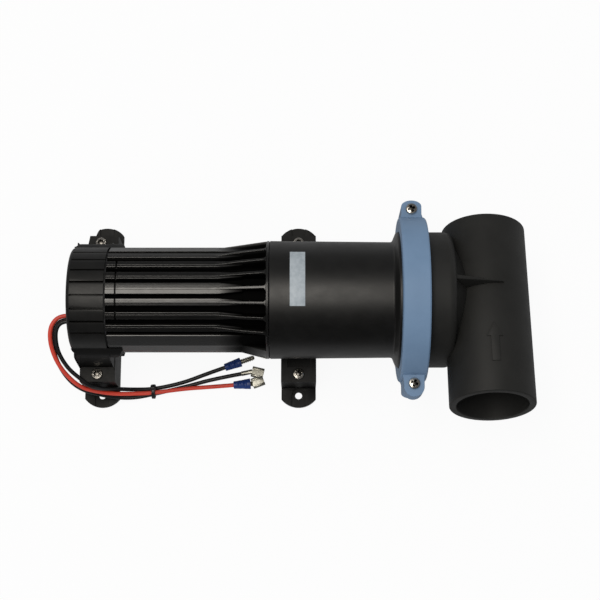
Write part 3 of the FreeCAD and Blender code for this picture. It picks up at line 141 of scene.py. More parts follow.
# %% [markdown]
# ## Light
# Black plastic is drawn almost wholly by what it reflects. In the photograph a
# wide soft lamp hangs over the pump and leaves one warm band along its crown, the
# white table shows along the lowest part of the near side, and between the two the
# plastic is nearly black, because nothing bright stands behind the camera. So the
# scene has one large lamp, a white table and world that are dimmer in reflections,
# and a dark curtain that only reflections see. The helpers below make the shader
# nodes, here and in the finishes.

# %% Helpers for shader nodes


def feed(tree, node, inputs):
    """Gives each input its value, or a link where the value is a socket. A node stands for its
    first output."""
    for name, value in inputs.items():
        if isinstance(value, bpy.types.Node):
            value = value.outputs[0]
        if isinstance(value, bpy.types.NodeSocket):
            tree.links.new(value, node.inputs[name])
        else:
            node.inputs[name].default_value = value


def grey(level):
    """An opaque grey, from 0 for black to 1 for white."""
    return (level, level, level, 1.0)


def add(tree, kind, inputs=None, operation=None):
    """A new shader node with its operation and its inputs."""
    made = tree.nodes.new("ShaderNode" + kind)
    if operation:
        made.operation = operation
    feed(tree, made, inputs or {})
    return made


def ray(tree, kind):
    """1 for rays of a kind, such as Camera or Glossy, else 0."""
    return add(tree, "LightPath").outputs["Is " + kind + " Ray"]


def backdrop_factor(tree):
    """1 for rays that come from the camera, a mirror-like surface or glass, else 0."""
    seen = add(tree, "Math", {0: ray(tree, "Camera"), 1: ray(tree, "Glossy")}, "MAXIMUM")
    return add(tree, "Math", {0: ray(tree, "Transmission"), 1: seen}, "MAXIMUM")


def sheet(name, corners, material):
    """A flat sheet with four corners."""
    mesh = bpy.data.meshes.new(name)
    mesh.from_pydata(corners, [], [(0, 1, 2, 3)])
    mesh.materials.append(material)
    return new_object(name, mesh)


# %% Table
REACH, TOP = 3.0, -0.0003  # half the table's width, and its top just under the feet
GLOW_SHARE, MIRRORED_SHARE = 0.93, 0.62
paper = bpy.data.materials.new("white_table")
paper.use_nodes = True
tree = paper.node_tree
tree.nodes.clear()
matte = add(tree, "BsdfDiffuse", {"Color": grey(0.8)})
glow = add(tree, "Emission", {"Color": grey(1.0), "Strength": 1.0})
dim = add(tree, "Emission", {"Color": grey(0.045)})
share = add(tree, "Math", {0: backdrop_factor(tree), 1: GLOW_SHARE}, "MULTIPLY")
mirrored = add(tree, "Math", {0: ray(tree, "Glossy"), 1: MIRRORED_SHARE}, "MULTIPLY")
blend = add(tree, "MixShader", {"Fac": share, 1: matte, 2: glow})
as_mirrored = add(tree, "MixShader", {"Fac": mirrored, 1: blend, 2: dim})
add(tree, "OutputMaterial", {"Surface": as_mirrored})
table = sheet("white_table", [(-REACH, -REACH, TOP), (REACH, -REACH, TOP),
                              (REACH, REACH, TOP), (-REACH, REACH, TOP)], paper)
print("stage:", table.name)

# %% World and lamp
world = bpy.data.worlds.new("studio")
bpy.context.scene.world = world
world.use_nodes = True
tree = world.node_tree
tree.nodes.clear()
room = add(tree, "Background", {"Color": (0.95, 0.97, 1.0, 1.0), "Strength": 0.66})
white = add(tree, "Background", {"Color": grey(1.0), "Strength": 1.0})
ceiling = add(tree, "Background", {"Strength": 0.19})
blend = add(tree, "MixShader", {"Fac": backdrop_factor(tree), 1: room, 2: white})
darken = add(tree, "MixShader", {"Fac": ray(tree, "Glossy"), 1: blend, 2: ceiling})
add(tree, "OutputWorld", {"Surface": darken})

lamp_data = bpy.data.lights.new("overhead_softbox", "AREA")
lamp_data.shape = "RECTANGLE"
lamp_data.size = 0.46
lamp_data.size_y = 0.95
lamp_data.energy = 8.5
lamp_data.color = (1.0, 0.95, 0.87)
lamp = new_object("overhead_softbox", lamp_data)
lamp.location = (-0.23, 0.03, 1.45)
lamp.rotation_euler = (0.0, math.radians(-9.0), 0.0)
bpy.context.scene.view_settings.view_transform = "Standard"
print("lamp:", lamp_data.energy, "W")

# %% Curtain
cloth = bpy.data.materials.new("dark_curtain")
cloth.use_nodes = True
tree = cloth.node_tree
feed(tree, tree.nodes["Principled BSDF"], {"Base Color": grey(0.02), "Roughness": 1.0})
curtain = sheet("dark_curtain", [(-1.6, -0.22, 0.0), (1.6, -0.22, 0.0),
                                 (1.6, -0.60, 1.25), (-1.6, -0.60, 1.25)], cloth)
curtain.visible_camera = False
curtain.visible_diffuse = False
curtain.visible_shadow = False
curtain.visible_transmission = False
print("stage:", curtain.name)

# %% [markdown]
# ## Finishes
# The pump is moulded, so most of its finishes are plastics: one colour with a faint
# cloudiness, a fine spark-eroded grain and a gloss that varies a little from place
# to place. The metals differ in colour, gloss and in their scratches. One function
# makes them all from noise on Object coordinates, so that nothing slides when the
# camera moves, and the numbers that are the same all over stay on the shader.

# %% Helpers for finishes


def noise(tree, coordinates, scale, detail, rough, stretch=None):
    """A noise pattern at so many cells to the metre, pulled out along an axis if asked."""
    if stretch is not None:
        coordinates = add(tree, "Mapping", {"Scale": stretch, "Vector": coordinates})
    return add(tree, "TexNoise", {"Scale": scale, "Detail": detail, "Roughness": rough,
                                  "Vector": coordinates}).outputs["Fac"]


def spread(tree, value, low, high, source=(0.3, 0.7)):
    """The value moved from the range `source` to the range low to high."""
    return add(tree, "MapRange", {"From Min": source[0], "From Max": source[1], "To Min": low,
                                  "To Max": high, "Value": value}).outputs["Result"]


def finish_of(name, dark, light, gloss, grain, depth, metallic=0.0, specular=0.5, cloud=28.0,
              stretch=None, hollows=None):
    """A finish: cloudy colour from dark to light, roughness in the range gloss, and a grain of
    so many cells to the metre raised by depth metres. Where the surface is shut in within the
    reach given for painted shade, in metres, its colour is darkened by ambient occlusion as
    painted shade."""
    made = bpy.data.materials.new(name)
    made.use_nodes = True
    tree = made.node_tree
    place = add(tree, "TexCoord").outputs["Object"]
    ramp = add(tree, "ValToRGB", {"Fac": noise(tree, place, cloud, 4.0, 0.6, stretch)})
    for stop, position, shade in zip(ramp.color_ramp.elements, (0.35, 0.65), (dark, light)):
        stop.position = position
        stop.color = (*shade, 1.0)
    colour = ramp.outputs["Color"]
    # Painted shade: ambient occlusion darkens the colour where the surface is shut in.
    if hollows is not None:
        shut_in = add(tree, "AmbientOcclusion", {"Distance": hollows})
        shut_in.only_local = True
        steep = add(tree, "Math", {0: shut_in.outputs["AO"], 1: 4.0}, "POWER")
        shaded_colour = add(tree, "MixRGB", {"Fac": 1.0, "Color1": colour, "Color2": steep})
        shaded_colour.blend_type = "MULTIPLY"
        colour = shaded_colour.outputs["Color"]
    wear = noise(tree, place, cloud * 4.0, 5.0, 0.65, stretch)
    bump = add(tree, "Bump", {"Distance": depth, "Strength": 0.6,
                              "Height": noise(tree, place, grain, 2.0, 0.5)})
    feed(tree, tree.nodes["Principled BSDF"],
         {"Metallic": metallic, "Specular IOR Level": specular, "Base Color": colour,
          "Roughness": spread(tree, wear, *gloss), "Normal": bump.outputs["Normal"]})
    return made


# %% The finishes: dark and light colour, gloss, cells of grain to the metre, its height
MOULDED_BLACK = ((0.0052, 0.0051, 0.0050), (0.0080, 0.0078, 0.0075))
METAL = {"metallic": 1.0}
FINISH_ROWS = {
    "black_plastic": (*MOULDED_BLACK, (0.36, 0.46), 2600, 2e-5, {"specular": 0.50}),
    "head_plastic": ((0.0145, 0.0143, 0.0132), (0.0185, 0.0182, 0.0168), (0.50, 0.60), 2400, 4e-5,
        {"specular": 0.36}),
    "cap_plastic": ((0.0060, 0.0060, 0.0058), (0.0090, 0.0088, 0.0085), (0.38, 0.48), 2400, 4e-5,
        {"specular": 0.38}),
    "foot_plastic": ((0.0042, 0.0042, 0.0042), (0.0068, 0.0066, 0.0064), (0.46, 0.58), 2200, 4e-5,
        {"specular": 0.24}),
    "blue_plastic": ((0.135, 0.220, 0.345), (0.158, 0.250, 0.385), (0.46, 0.56), 2400, 3e-5,
        {"specular": 0.40}),
    # The stainless screws get painted shade in their recesses, within 3 mm.
    "stainless": ((0.50, 0.47, 0.43), (0.62, 0.59, 0.54), (0.16, 0.28), 3000, 1e-5,
        {**METAL, "cloud": 160.0, "hollows": 0.003}),
    "black_rubber": ((0.012, 0.012, 0.013), (0.024, 0.024, 0.025), (0.62, 0.80), 1500, 5e-5,
        {"specular": 0.3}),
    "grey_nylon": ((0.46, 0.46, 0.42), (0.55, 0.55, 0.51), (0.40, 0.52), 2200, 3e-5,
        {"specular": 0.4}),
    "bronze": ((0.48, 0.30, 0.13), (0.62, 0.42, 0.20), (0.34, 0.50), 1800, 4e-5, METAL),
    "copper": ((0.60, 0.24, 0.11), (0.78, 0.36, 0.18), (0.24, 0.36), 1400, 6e-5,
        {**METAL, "stretch": (0.2, 1.0, 1.0)}),
    "steel": ((0.36, 0.36, 0.37), (0.48, 0.48, 0.49), (0.26, 0.40), 2600, 2e-5,
        {**METAL, "stretch": (1.0, 0.2, 0.2)}),
    "ferrite": ((0.040, 0.040, 0.042), (0.065, 0.063, 0.062), (0.55, 0.70), 1600, 6e-5,
        {"specular": 0.4}),
    "cast_frame": ((0.48, 0.48, 0.49), (0.60, 0.60, 0.61), (0.42, 0.58), 900, 12e-5, METAL),
    "red_wire": ((0.56, 0.040, 0.022), (0.66, 0.062, 0.034), (0.34, 0.46), 700, 4e-5,
        {"specular": 0.45, "cloud": 60.0}),
    "black_wire": ((0.008, 0.008, 0.009), (0.014, 0.014, 0.015), (0.32, 0.44), 700, 4e-5,
        {"specular": 0.45, "cloud": 60.0}),
    "blue_sleeve": ((0.010, 0.032, 0.150), (0.016, 0.046, 0.200), (0.28, 0.40), 1200, 5e-5,
        {"specular": 0.45, "cloud": 120.0}),
    "tinned": ((0.42, 0.41, 0.35), (0.58, 0.57, 0.51), (0.30, 0.48), 1800, 4e-5,
        {**METAL, "cloud": 220.0}),
    "ribbed_plastic": (*MOULDED_BLACK, (0.20, 0.27), 2600, 2e-5, {"specular": 0.60}),
}
FINISHES = {name: finish_of(name, *row[:-1], **row[-1]) for name, row in FINISH_ROWS.items()}
print("finishes:", len(FINISHES))

# %% [markdown]
# The grooves of the motor cover are painted with shade: their colour is made darker
# than the lands', since little light gets in, and they are made matt and dull. A
# point's distance from the pump's axis tells how deep it lies, but the body flares
# towards its front, so that much is taken off there.

# %% Painted shade in the grooves, and a finish for every solid
FLARE_FROM, FLARE_TO, FLARE_RISE = 0.014, 0.047, 0.0046
GROOVE_RADIUS, LAND_RADIUS, GROOVE_SPECULAR = 0.0338, 0.0362, 0.05


def paint_groove_shade(material):
    """Paints shade deep in the grooves: the colour there goes nearly black and the reflection
    dull, and the surface turns matt. All three follow a share that rises from 0 at the
    groove's radius to 1 at the land's."""
    tree = material.node_tree
    shader = tree.nodes["Principled BSDF"]
    place = add(tree, "TexCoord").outputs["Object"]
    across = add(tree, "Mapping", {"Location": (0.0, 0.0, -AXIS_Z), "Scale": (0.0, 1.0, 1.0),
                                   "Vector": place})
    radius = add(tree, "VectorMath", {0: across}, "LENGTH").outputs["Value"]
    x = add(tree, "SeparateXYZ", {0: place}).outputs["X"]
    flare = spread(tree, x, 0.0, FLARE_RISE, (FLARE_FROM, FLARE_TO))
    unflared = add(tree, "Math", {0: radius, 1: flare}, "SUBTRACT")
    share = spread(tree, unflared, 0.0, 1.0, (GROOVE_RADIUS, LAND_RADIUS))
    full = shader.inputs["Specular IOR Level"].default_value
    level = spread(tree, share, GROOVE_SPECULAR, full, (0.0, 1.0))
    feed(tree, shader, {"Specular IOR Level": level})
    # Painted shade: deep in the grooves the colour falls to nearly black; the higher roughness
    # there is the floor's own matt finish.
    for socket, deep in (("Base Color", 0.0008), ("Roughness", 0.75)):
        on_lands = shader.inputs[socket].links[0].from_socket
        mix = add(tree, "Mix")
        mix.data_type = "RGBA"
        feed(tree, mix, {"Factor": share, 6: grey(deep), 7: on_lands})
        feed(tree, shader, {socket: mix.outputs[2]})


paint_groove_shade(FINISHES["ribbed_plastic"])
SLOT_OF = {entry["node"]: entry["material_slot"] for entry in frame["record"]["subparts"]}
for node, solid in frame["nodes"].items():
    solid.data.materials.clear()
    solid.data.materials.append(FINISHES[SLOT_OF[node]])
for wire, node, *_ in WIRES:
    wire.data.materials.append(FINISHES[SLOT_OF[node]])
    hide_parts(node)
    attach(wire, "pump_body")
print("solids with a finish:", len(frame["nodes"]))

# %% [markdown]
# ## Surfaces from grids
# A turned part, a ribbed cover or a bent tab is a grid of points: one number runs
# along the rows and one along the columns. The helpers below join such grids into
# closed shells. Corners are rounded in the profile itself, because it is the small
# round on each edge that catches the light on real plastic. A part is always three
# things: its grid of points in millimetres, its quads and its end faces.

# %% Helpers for grids


def grid_faces(rows, columns, wrap_rows=False, wrap_columns=False):
    """The quads of a grid of points; a wrapped side joins its last line to its first."""
    row, column = np.meshgrid(np.arange(rows if wrap_rows else rows - 1),
                              np.arange(columns if wrap_columns else columns - 1),
                              indexing="ij")
    below, beside = (row + 1) % rows, (column + 1) % columns
    return np.stack([row * columns + column, below * columns + column,
                     below * columns + beside, row * columns + beside], axis=-1).reshape(-1, 4)


def rounded(corners, radii, steps=4):
    """A closed outline with each corner turned into an arc: the arc of radius r meets the two
    sides at r times the tangent of half the turn from the corner."""
    corners = np.asarray(corners, float)
    points = []
    for before, corner, after, radius in zip(np.roll(corners, 1, 0), corners,
                                             np.roll(corners, -1, 0), radii):
        into = (corner - before) / np.linalg.norm(corner - before)
        out = (after - corner) / np.linalg.norm(after - corner)
        turn = math.atan2(into[0] * out[1] - into[1] * out[0], float(into @ out))
        if radius <= 0 or abs(turn) < 0.02:
            points.append(corner[None])
            continue
        start = corner - into * radius * math.tan(abs(turn) / 2)
        sense = math.copysign(1.0, turn)
        normal = np.array([-into[1], into[0]]) * sense
        angles = np.linspace(0.0, turn, steps + 1)[:, None]
        swept = np.cos(angles) * -normal + np.sin(angles) * into * sense
        points.append(start + normal * radius + radius * swept)
    return np.concatenate(points)


# %% Turned parts and slabs


def circle(count):
    """Angles all the way round, without the last one, which is the first again."""
    return np.linspace(0, 2 * math.pi, count, endpoint=False)


def around_axis(x, radius, turn):
    """Points round the pump's axis: y = -radius sin(turn) and z = radius cos(turn), so that
    the turn goes from the crown to the near side."""
    return np.stack([x + 0 * turn, -radius * np.sin(turn), radius * np.cos(turn)], axis=-1)


def turned(profile, around):
    """A closed profile of (x, radius) carried all the way round the pump's axis."""
    profile = np.asarray(profile, float)
    points = around_axis(profile[:, :1], profile[:, 1:], circle(around))
    return points, grid_faces(len(profile), around, True, True), []


def slab(outline, levels):
    """A flat-sided solid over a closed outline of (x, y): at each level (height, inset) the
    outline moves in along its own normals by the inset. Its two ends are single faces."""
    outline = np.asarray(outline, float)
    ahead = np.roll(outline, -1, 0) - outline
    ahead /= np.linalg.norm(ahead, axis=1, keepdims=True)
    behind = np.roll(ahead, 1, 0)
    inward = np.stack([-(ahead + behind)[:, 1], (ahead + behind)[:, 0]], axis=-1)
    inward /= np.maximum(np.sum(inward ** 2, axis=1, keepdims=True), 0.4) / 2
    rings = [np.column_stack([outline + inward * inset, np.full(len(outline), height)])
             for height, inset in levels]
    count = len(outline)
    ends = [np.arange(count)[::-1], np.arange(count) + (len(levels) - 1) * count]
    return np.stack(rings), grid_faces(len(levels), count, False, True), ends


def edge_levels(low, high, bevel):
    """Levels for slab() with a small round at the bottom and at the top edge."""
    arc = np.radians([0, 30, 60, 90])
    steps = list(zip(np.sin(arc), np.cos(arc)))
    down = [(low + bevel * (1 - s), bevel * (1 - c)) for s, c in steps[::-1]]
    up = [(high - bevel * (1 - s), bevel * (1 - c)) for s, c in steps]
    return down + up


# %% Grids moved and turned


def moved(part, matrix, offset=(0.0, 0.0, 0.0)):
    """The same grid turned by a 3 by 3 matrix and shifted."""
    points, *rest = part
    return (points @ np.asarray(matrix, float).T + np.asarray(offset, float), *rest)


def tilt_x(degrees):
    """The matrix that turns about the X axis."""
    c, s = math.cos(math.radians(degrees)), math.sin(math.radians(degrees))
    return np.array([[1, 0, 0], [0, c, -s], [0, s, c]])


def turn_z(degrees):
    """The matrix that turns about the Z axis."""
    c, s = math.cos(math.radians(degrees)), math.sin(math.radians(degrees))
    return np.array([[c, -s, 0], [s, c, 0], [0, 0, 1]])


# %% From grids to a finished piece


def merged(mesh, distance, clean=None):
    """Merges doubled points, drops faces with no area or cleans in the way that is asked, and
    turns all faces outwards."""
    work = bmesh.new()
    work.from_mesh(mesh)
    bmesh.ops.remove_doubles(work, verts=work.verts, dist=distance)
    if clean:
        clean(work)
    else:
        bmesh.ops.dissolve_degenerate(work, edges=work.edges, dist=distance / 4)
    bmesh.ops.recalc_face_normals(work, faces=work.faces)
    work.to_mesh(mesh)
    work.free()
    mesh.update()


def dress(mesh, sharp, slot, body, finish, stands_for):
    """An object at the origin for a mesh: smooth but for edges that turn by more than `sharp`
    degrees, with a finish, on a body, in place of the solids that it stands for."""
    mesh.shade_smooth()
    mesh.set_sharp_from_angle(angle=math.radians(sharp))
    made = new_object(mesh.name, mesh)
    mesh.materials.clear()
    mesh.materials.append(FINISHES[finish or slot])
    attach(made, body)
    if stands_for:
        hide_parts(*stands_for)
    print(mesh.name, len(mesh.polygons), "faces")
    return made


def piece(name, parts, slot, stands_for=(), body="pump_body", sharp=32.0, from_floor=False,
          weld=0.002, finish=None):
    """One object from several grids in millimetres, which rides on the pump's body if no other
    is named. Heights are measured from the pump's axis, or from the floor if from_floor is
    set."""
    points, faces, start = [], [], 0
    for part_points, quads, ends in parts:
        flat = part_points.reshape(-1, 3)
        points.append(flat)
        faces += (quads + start).tolist() + [(np.asarray(end) + start).tolist() for end in ends]
        start += len(flat)
    points = np.concatenate(points) * MM
    if not from_floor:
        points[:, 2] += AXIS_Z
    mesh = bpy.data.meshes.new(name)
    mesh.from_pydata(points.tolist(), [], faces)
    merged(mesh, weld * MM)
    return dress(mesh, sharp, slot, body, finish, stands_for)

# %% [markdown]
# ## The housing
# The smooth black body is a turned shape. It narrows a little towards the clamp
# ring, flares out into a shoulder and ends in a flange inside the ring. The
# profile is drawn once, with a radius at each corner, and carried round the axis.
# A lug on each side carries a front foot.

# %% Housing
HOUSING_BACK, HOUSING_NECK = 51.5, 136.6
HOUSING_R, HOUSING_NECK_R = 41.2, 40.4
FOOT_X = 71.5  # the feet stand this far in front of and behind the middle
housing_profile = rounded(
    [(HOUSING_BACK, 37.6), (HOUSING_BACK, HOUSING_R), (HOUSING_NECK, HOUSING_NECK_R),
     (139.4, 47.2), (143.3, 47.2), (143.3, 52.0), (147.9, 52.0), (147.9, 41.0), (139.0, 41.0),
     (134.0, 37.6)],
    [0.3, 0.7, 2.0, 1.2, 0.0, 0.3, 0.3, 0.3, 1.0, 1.0], 6)
lug_outline = rounded([(-8, 12), (8, 12), (8, 51.3), (-8, 51.3)], [0, 0, 1.0, 1.0])
lug = slab(lug_outline, edge_levels(12.0 - AXIS, 30.0 - AXIS, 0.6))
lugs = [moved(lug, turn_z(turn), (FOOT_X, 0, 0)) for turn in (0, 180)]
piece("housing", [turned(housing_profile, 192), *lugs], "black_plastic", ["pump_housing"])

# %% [markdown]
# ## The motor cover
# A thin black moulding round the motor. Its crown is a recess with seven flat
# lands, and each land narrows into a thin rib that runs up to the front rim, where
# the cover widens to the housing. Below the recess each side has two flat facets.
# Cutting all this from a cylinder leaves hard, dead edges. One grid gives every
# edge its own small round: the columns follow the edges of the lands, and the rows
# are stations along the pump.

# %% The cover's radii and stations, in millimetres
COVER_R, FLOOR_R, RIM_R, BORE_R, FACET_R = 36.7, 32.1, 41.2, 30.6, 36.25
COVER_BACK, COVER_FRONT, RECESS_FRONT = -59.4, 51.3, 49.4
LAND_END, RIB_START, FLARE_END = 17.0, 33.5, 49.0  # a land narrows between the first two
CREST_START = 14.5  # where the ribs start to rise
NOTCH_START, NOTCH_END, NOTCH_DEPTH = -53.01, -51.79, 2.0
RIB_HALF, LAND_HALF, MIDDLE_LAND_HALF = 0.95, 2.6, 4.0
EDGE, RIB_EDGE = 0.45, 0.35  # radii of the lands' and ribs' edges
BLUNT = 0.45  # share of a land's extra width kept
ROOT, ROOT_WIDTH = 2.2, 1.76  # a rib's root, and how much it widens
LAND_PITCH, PITCH_GROWTH = 14.8, 0.5  # degrees between lands, and more there


def ramp(x, start, end):
    """0 before start, 1 after end and a straight line between them."""
    return np.clip((x - start) / (end - start), 0.0, 1.0)


def ease(t):
    """The same, with a soft start and a soft end: 3 t squared minus 2 t cubed."""
    return t * t * (3 - 2 * t)


def flared(x, start):
    """The cover's radius where it widens in a straight line from a station to the rim."""
    return COVER_R + (RIM_R - COVER_R) * ramp(x, start, FLARE_END)


print("cover:", COVER_FRONT - COVER_BACK, "mm long")

# %% Columns of the cover's grid


def land_columns(x, centre, half_width, notch):
    """Angles and radii over one land. Lateral distance goes from -w to w, and the angle of a
    point is the land's own angle plus the arc sine of its lateral distance over its radius."""
    blunt = BLUNT * (half_width - RIB_HALF)
    narrowed = half_width - (half_width - RIB_HALF - blunt) * ramp(x, LAND_END, RIB_START)
    root = ROOT_WIDTH * ramp(x, RECESS_FRONT - ROOT, RECESS_FRONT) ** 3
    half = np.where(x < RIB_START + 0.1, narrowed, RIB_HALF) + root
    quarter = RIB_HALF + root
    crown = np.full_like(x, COVER_R) - notch
    crest = np.where(x < CREST_START, crown, flared(x, CREST_START))
    floor = np.full_like(x, FLOOR_R)
    bend = np.radians(np.arange(0, 91, 10.0))[None]
    lateral = np.hstack([half + 0.5, half + 0.15, half,
                         np.maximum(half - EDGE * (1 - np.cos(bend)), quarter), quarter,
                         quarter - RIB_EDGE * (1 - np.cos(bend))])
    radius = np.hstack([floor, floor + 0.15, floor + 0.5, crown - EDGE * (1 - np.sin(bend)),
                        crown, crest - RIB_EDGE * (1 - np.sin(bend))])
    lateral = np.concatenate([-lateral, 0 * x, lateral[:, ::-1]], axis=1)
    radius = np.concatenate([radius, crest, radius[:, ::-1]], axis=1)
    return centre + np.degrees(np.arcsin(lateral / radius)), radius


def facet_columns(x, start, end, middle, flare_from):
    """A flat facet: its radius is the facet's distance from the axis over the cosine of the
    angle from its middle. Past flare_from it is no smaller than the cone that widens to the
    rim."""
    angle = np.linspace(start, end, 5)[None] + 0 * x
    flat = FACET_R / np.cos(np.radians(angle - middle))
    cone = flared(x, flare_from)
    return angle, np.where(x > flare_from, np.maximum(flat, cone - 0.35), flat)


def cover_outside(x):
    """Angles and radii all the way round, for a column of stations x."""
    pitch = LAND_PITCH + PITCH_GROWTH * ramp(x, LAND_END, RIB_START)
    in_notch = (x > NOTCH_START) & (x < NOTCH_END)
    lands = []
    for step in range(-3, 4):
        half = MIDDLE_LAND_HALF if step == 0 else LAND_HALF
        notch = NOTCH_DEPTH * in_notch * (abs(step) < 3)
        lands.append(land_columns(x, step * pitch, half, notch))
    far_wall = [(turn + 0 * x, np.full_like(x, radius)) for turn, radius in
                ((-53.5, FLOOR_R), (-53.62, COVER_R - 0.35), (-54.1, COVER_R))]
    near_wall = [(-angle, radius) for angle, radius in far_wall[::-1]]
    far = [facet_columns(x, -89, -71.2, -80, 18.0), facet_columns(x, -71, -54.6, -62, 60.0)]
    near = [facet_columns(x, 54.6, 71, 62, 60.0), facet_columns(x, 71.2, 89, 80, 32.0)]
    under = np.linspace(91, 269, 48)[None] + 0 * x
    below = [(under, flared(x, 32.0) + 0 * under)]
    parts = far + far_wall[::-1] + lands + near_wall[::-1] + near + below
    return np.hstack([a for a, r in parts]), np.hstack([r for a, r in parts])


# %% Motor cover
cover_x = np.concatenate([
    [COVER_BACK, COVER_BACK + 0.3], np.linspace(-57, -54, 3), [-53.05, -53.0, -51.8, -51.75],
    np.linspace(-48, 12, 11), [CREST_START, LAND_END], np.linspace(19, RIB_START, 12), [33.7],
    np.linspace(35, 47, 9), np.linspace(47.6, RECESS_FRONT, 7)])[:, None]
angle, radius = cover_outside(cover_x)
radius[0] -= 0.3
rim = np.array([(RECESS_FRONT, RIM_R - 2.0), (49.42, RIM_R - 0.35), (49.7, RIM_R),
                (50.9, RIM_R), (COVER_FRONT, RIM_R - 0.4), (COVER_FRONT, BORE_R),
                (COVER_BACK, BORE_R)])
rim_angle = angle[-1:] + 0 * rim[:, :1]
cover_points = around_axis(np.vstack([cover_x, rim[:, :1]]),
                           np.vstack([radius, rim[:, 1:] + 0 * rim_angle]),
                           np.radians(np.vstack([angle, rim_angle])))
piece("finned_motor_cover",
      [(cover_points, grid_faces(*cover_points.shape[:2], True, True), [])],
      "black_plastic", ["motor_cover"], sharp=12.0, finish="ribbed_plastic")

# %% [markdown]
# ## Cap, feet and clamp ring
# These mouldings have holes, pockets and ribs that cross each other, which a grid
# can't follow. Their shapes are already right in the solid model, but its edges are
# knife sharp, and no moulding has such edges: the tool that cut the mould was round.
# So each takes a merged copy of its solid, and a Bevel modifier rounds every edge
# that turns by more than 34 degrees.

# %% Helper for softened mouldings
CREASE = 34.0


def softened(node, name, slot, width, change=None, finish=None):
    """A copy of a solid with its doubles merged, its flat faces joined and its edges rounded to
    `width` millimetres. `change` may move the copy's points first, as an array in metres."""
    def clean(work):
        if change is not None:
            points = change(np.array([v.co[:] for v in work.verts]))
            for vertex, point in zip(work.verts, points):
                vertex.co = point
        bmesh.ops.dissolve_limit(work, angle_limit=math.radians(0.6), verts=work.verts,
                                 edges=work.edges, use_dissolve_boundaries=False)

    mesh = frame["nodes"][node].data.copy()
    mesh.name = name
    merged(mesh, 0.01 * MM, clean)
    made = dress(mesh, CREASE, slot, "pump_body", finish, [node])
    bevel = made.modifiers.new("round_edges", "BEVEL")
    bevel.width = width * MM
    bevel.segments = 3
    bevel.limit_method = "ANGLE"
    bevel.angle_limit = math.radians(CREASE)
    bevel.harden_normals = True
    bevel.use_clamp_overlap = True


# %% End cap and feet
# In metres, as the solids are, and heights over the pump's axis
SADDLE_IN, SADDLE_OUT, FEATHER_R = 0.0374, 0.0411, 0.0370
SADDLE_LOW, SADDLE_HIGH = -0.0146, 0.008
SADDLE_REAR, SADDLE_FRONT, REAR_DRAW, FRONT_DRAW = -0.080, -0.056, 0.0044, 0.0042
PAD_REAR, PAD_DRAW = -0.077, 0.62


def taper_saddle(points):
    """Draws the saddle's upper edge in to the cap, so that it ends in a feather and not in a
    step: the radius of a point there shrinks with its height over the pump's axis. Its two ends
    narrow to the leg's width on the way down, and the far foot's rear edge is drawn in towards
    the hole."""
    across, up = points[:, 1], points[:, 2] - AXIS_Z
    radius = np.hypot(across, up)
    share = ramp(up, 0.002, SADDLE_HIGH) * (radius > SADDLE_IN)
    scale = (radius + (FEATHER_R - radius) * share) / np.maximum(radius, 1e-9)
    along = points[:, 0].copy()
    on_saddle = (radius > SADDLE_IN) & (radius < SADDLE_OUT) & (up > SADDLE_LOW)
    fall = 1 - ramp(up, -0.001, SADDLE_HIGH)
    along += np.where(on_saddle & (along < SADDLE_REAR), REAR_DRAW * fall ** 0.7, 0.0)
    along -= np.where(on_saddle & (along > SADDLE_FRONT), FRONT_DRAW * fall ** 1.6, 0.0)
    out = ramp(across, 0.041, 0.047)
    drawn_in = PAD_REAR + (along - PAD_REAR) * (1 - PAD_DRAW * out)
    along = np.where(along < PAD_REAR, drawn_in, along)
    return np.column_stack([along, across * scale, up * scale + AXIS_Z])


softened("end_cap", "slotted_end_cap", "black_plastic", width=0.3, finish="cap_plastic")
for label in ("rear_left", "rear_right", "front_left", "front_right"):
    softened(label + "_foot", label + "_mounting_foot", "black_plastic", 0.6,
             taper_saddle if label.startswith("rear") else None, "foot_plastic")

# %% [markdown]
# The rear feet flow out of the saddle: a slanted wall leads from it down to the ledge
# with the screw. Its section is a rounded polygon across the pump, carried along X.

# %% Slanted walls of the rear feet
wall_section = rounded([(-36.0, 1.0), (-39.6, 2.0), (-40.6, -2.0), (-43.0, -26.3), (-36.0, -26.3)],
                       [0, 1.0, 3.0, 0, 0], 6)
wall_levels = [(-83.9, 1.2), (-83.5, 0.3), (-82.7, 0.0), (-60.6, 0.0), (-59.8, 0.3), (-59.4, 1.2)]
for label, side in (("near", 1), ("far", -1)):
    grid, faces, ends = slab(wall_section[::-1], wall_levels)
    wall = np.stack([grid[..., 2], side * grid[..., 0], grid[..., 1]], axis=-1)
    piece(label + "_foot_slanted_wall", [(wall, faces, ends)], "black_plastic",
          finish="foot_plastic")

# %% [markdown]
# Each half of the clamp ring carries an ear on both sides, with a round tip. The tips
# of the real ears reach less far than half a cylinder would, so they are drawn in.

# %% Clamp ring
EAR_ROOT = 0.064  # in metres from the pump's middle plane


def shorten_ears(near, far):
    """Draws the round tips of the ears in: past the ear's root, a point keeps `near` of its
    distance on the near side and `far` of it on the far side."""
    def change(points):
        reach = np.abs(points[:, 1]) - EAR_ROOT
        kept = np.where(points[:, 1] < 0, near, far)
        drawn = np.where(reach > 0, EAR_ROOT + reach * kept, np.abs(points[:, 1]))
        return np.column_stack([points[:, 0], drawn * np.sign(points[:, 1]), points[:, 2]])
    return change


softened("clamp_ring_upper", "upper_clamp_half", "blue_plastic", 0.7,
         shorten_ears(near=1.0, far=0.6))
softened("clamp_ring_lower", "lower_clamp_half", "blue_plastic", 0.4,
         shorten_ears(near=0.5, far=0.5))

# %% [markdown]
# The ears don't stand on the ring as plain tabs: the band runs out into them in a
# V, which gives the screws their strength. Each gusset is a slab over a pointed
# outline with rounded corners, one at each ear of a half.

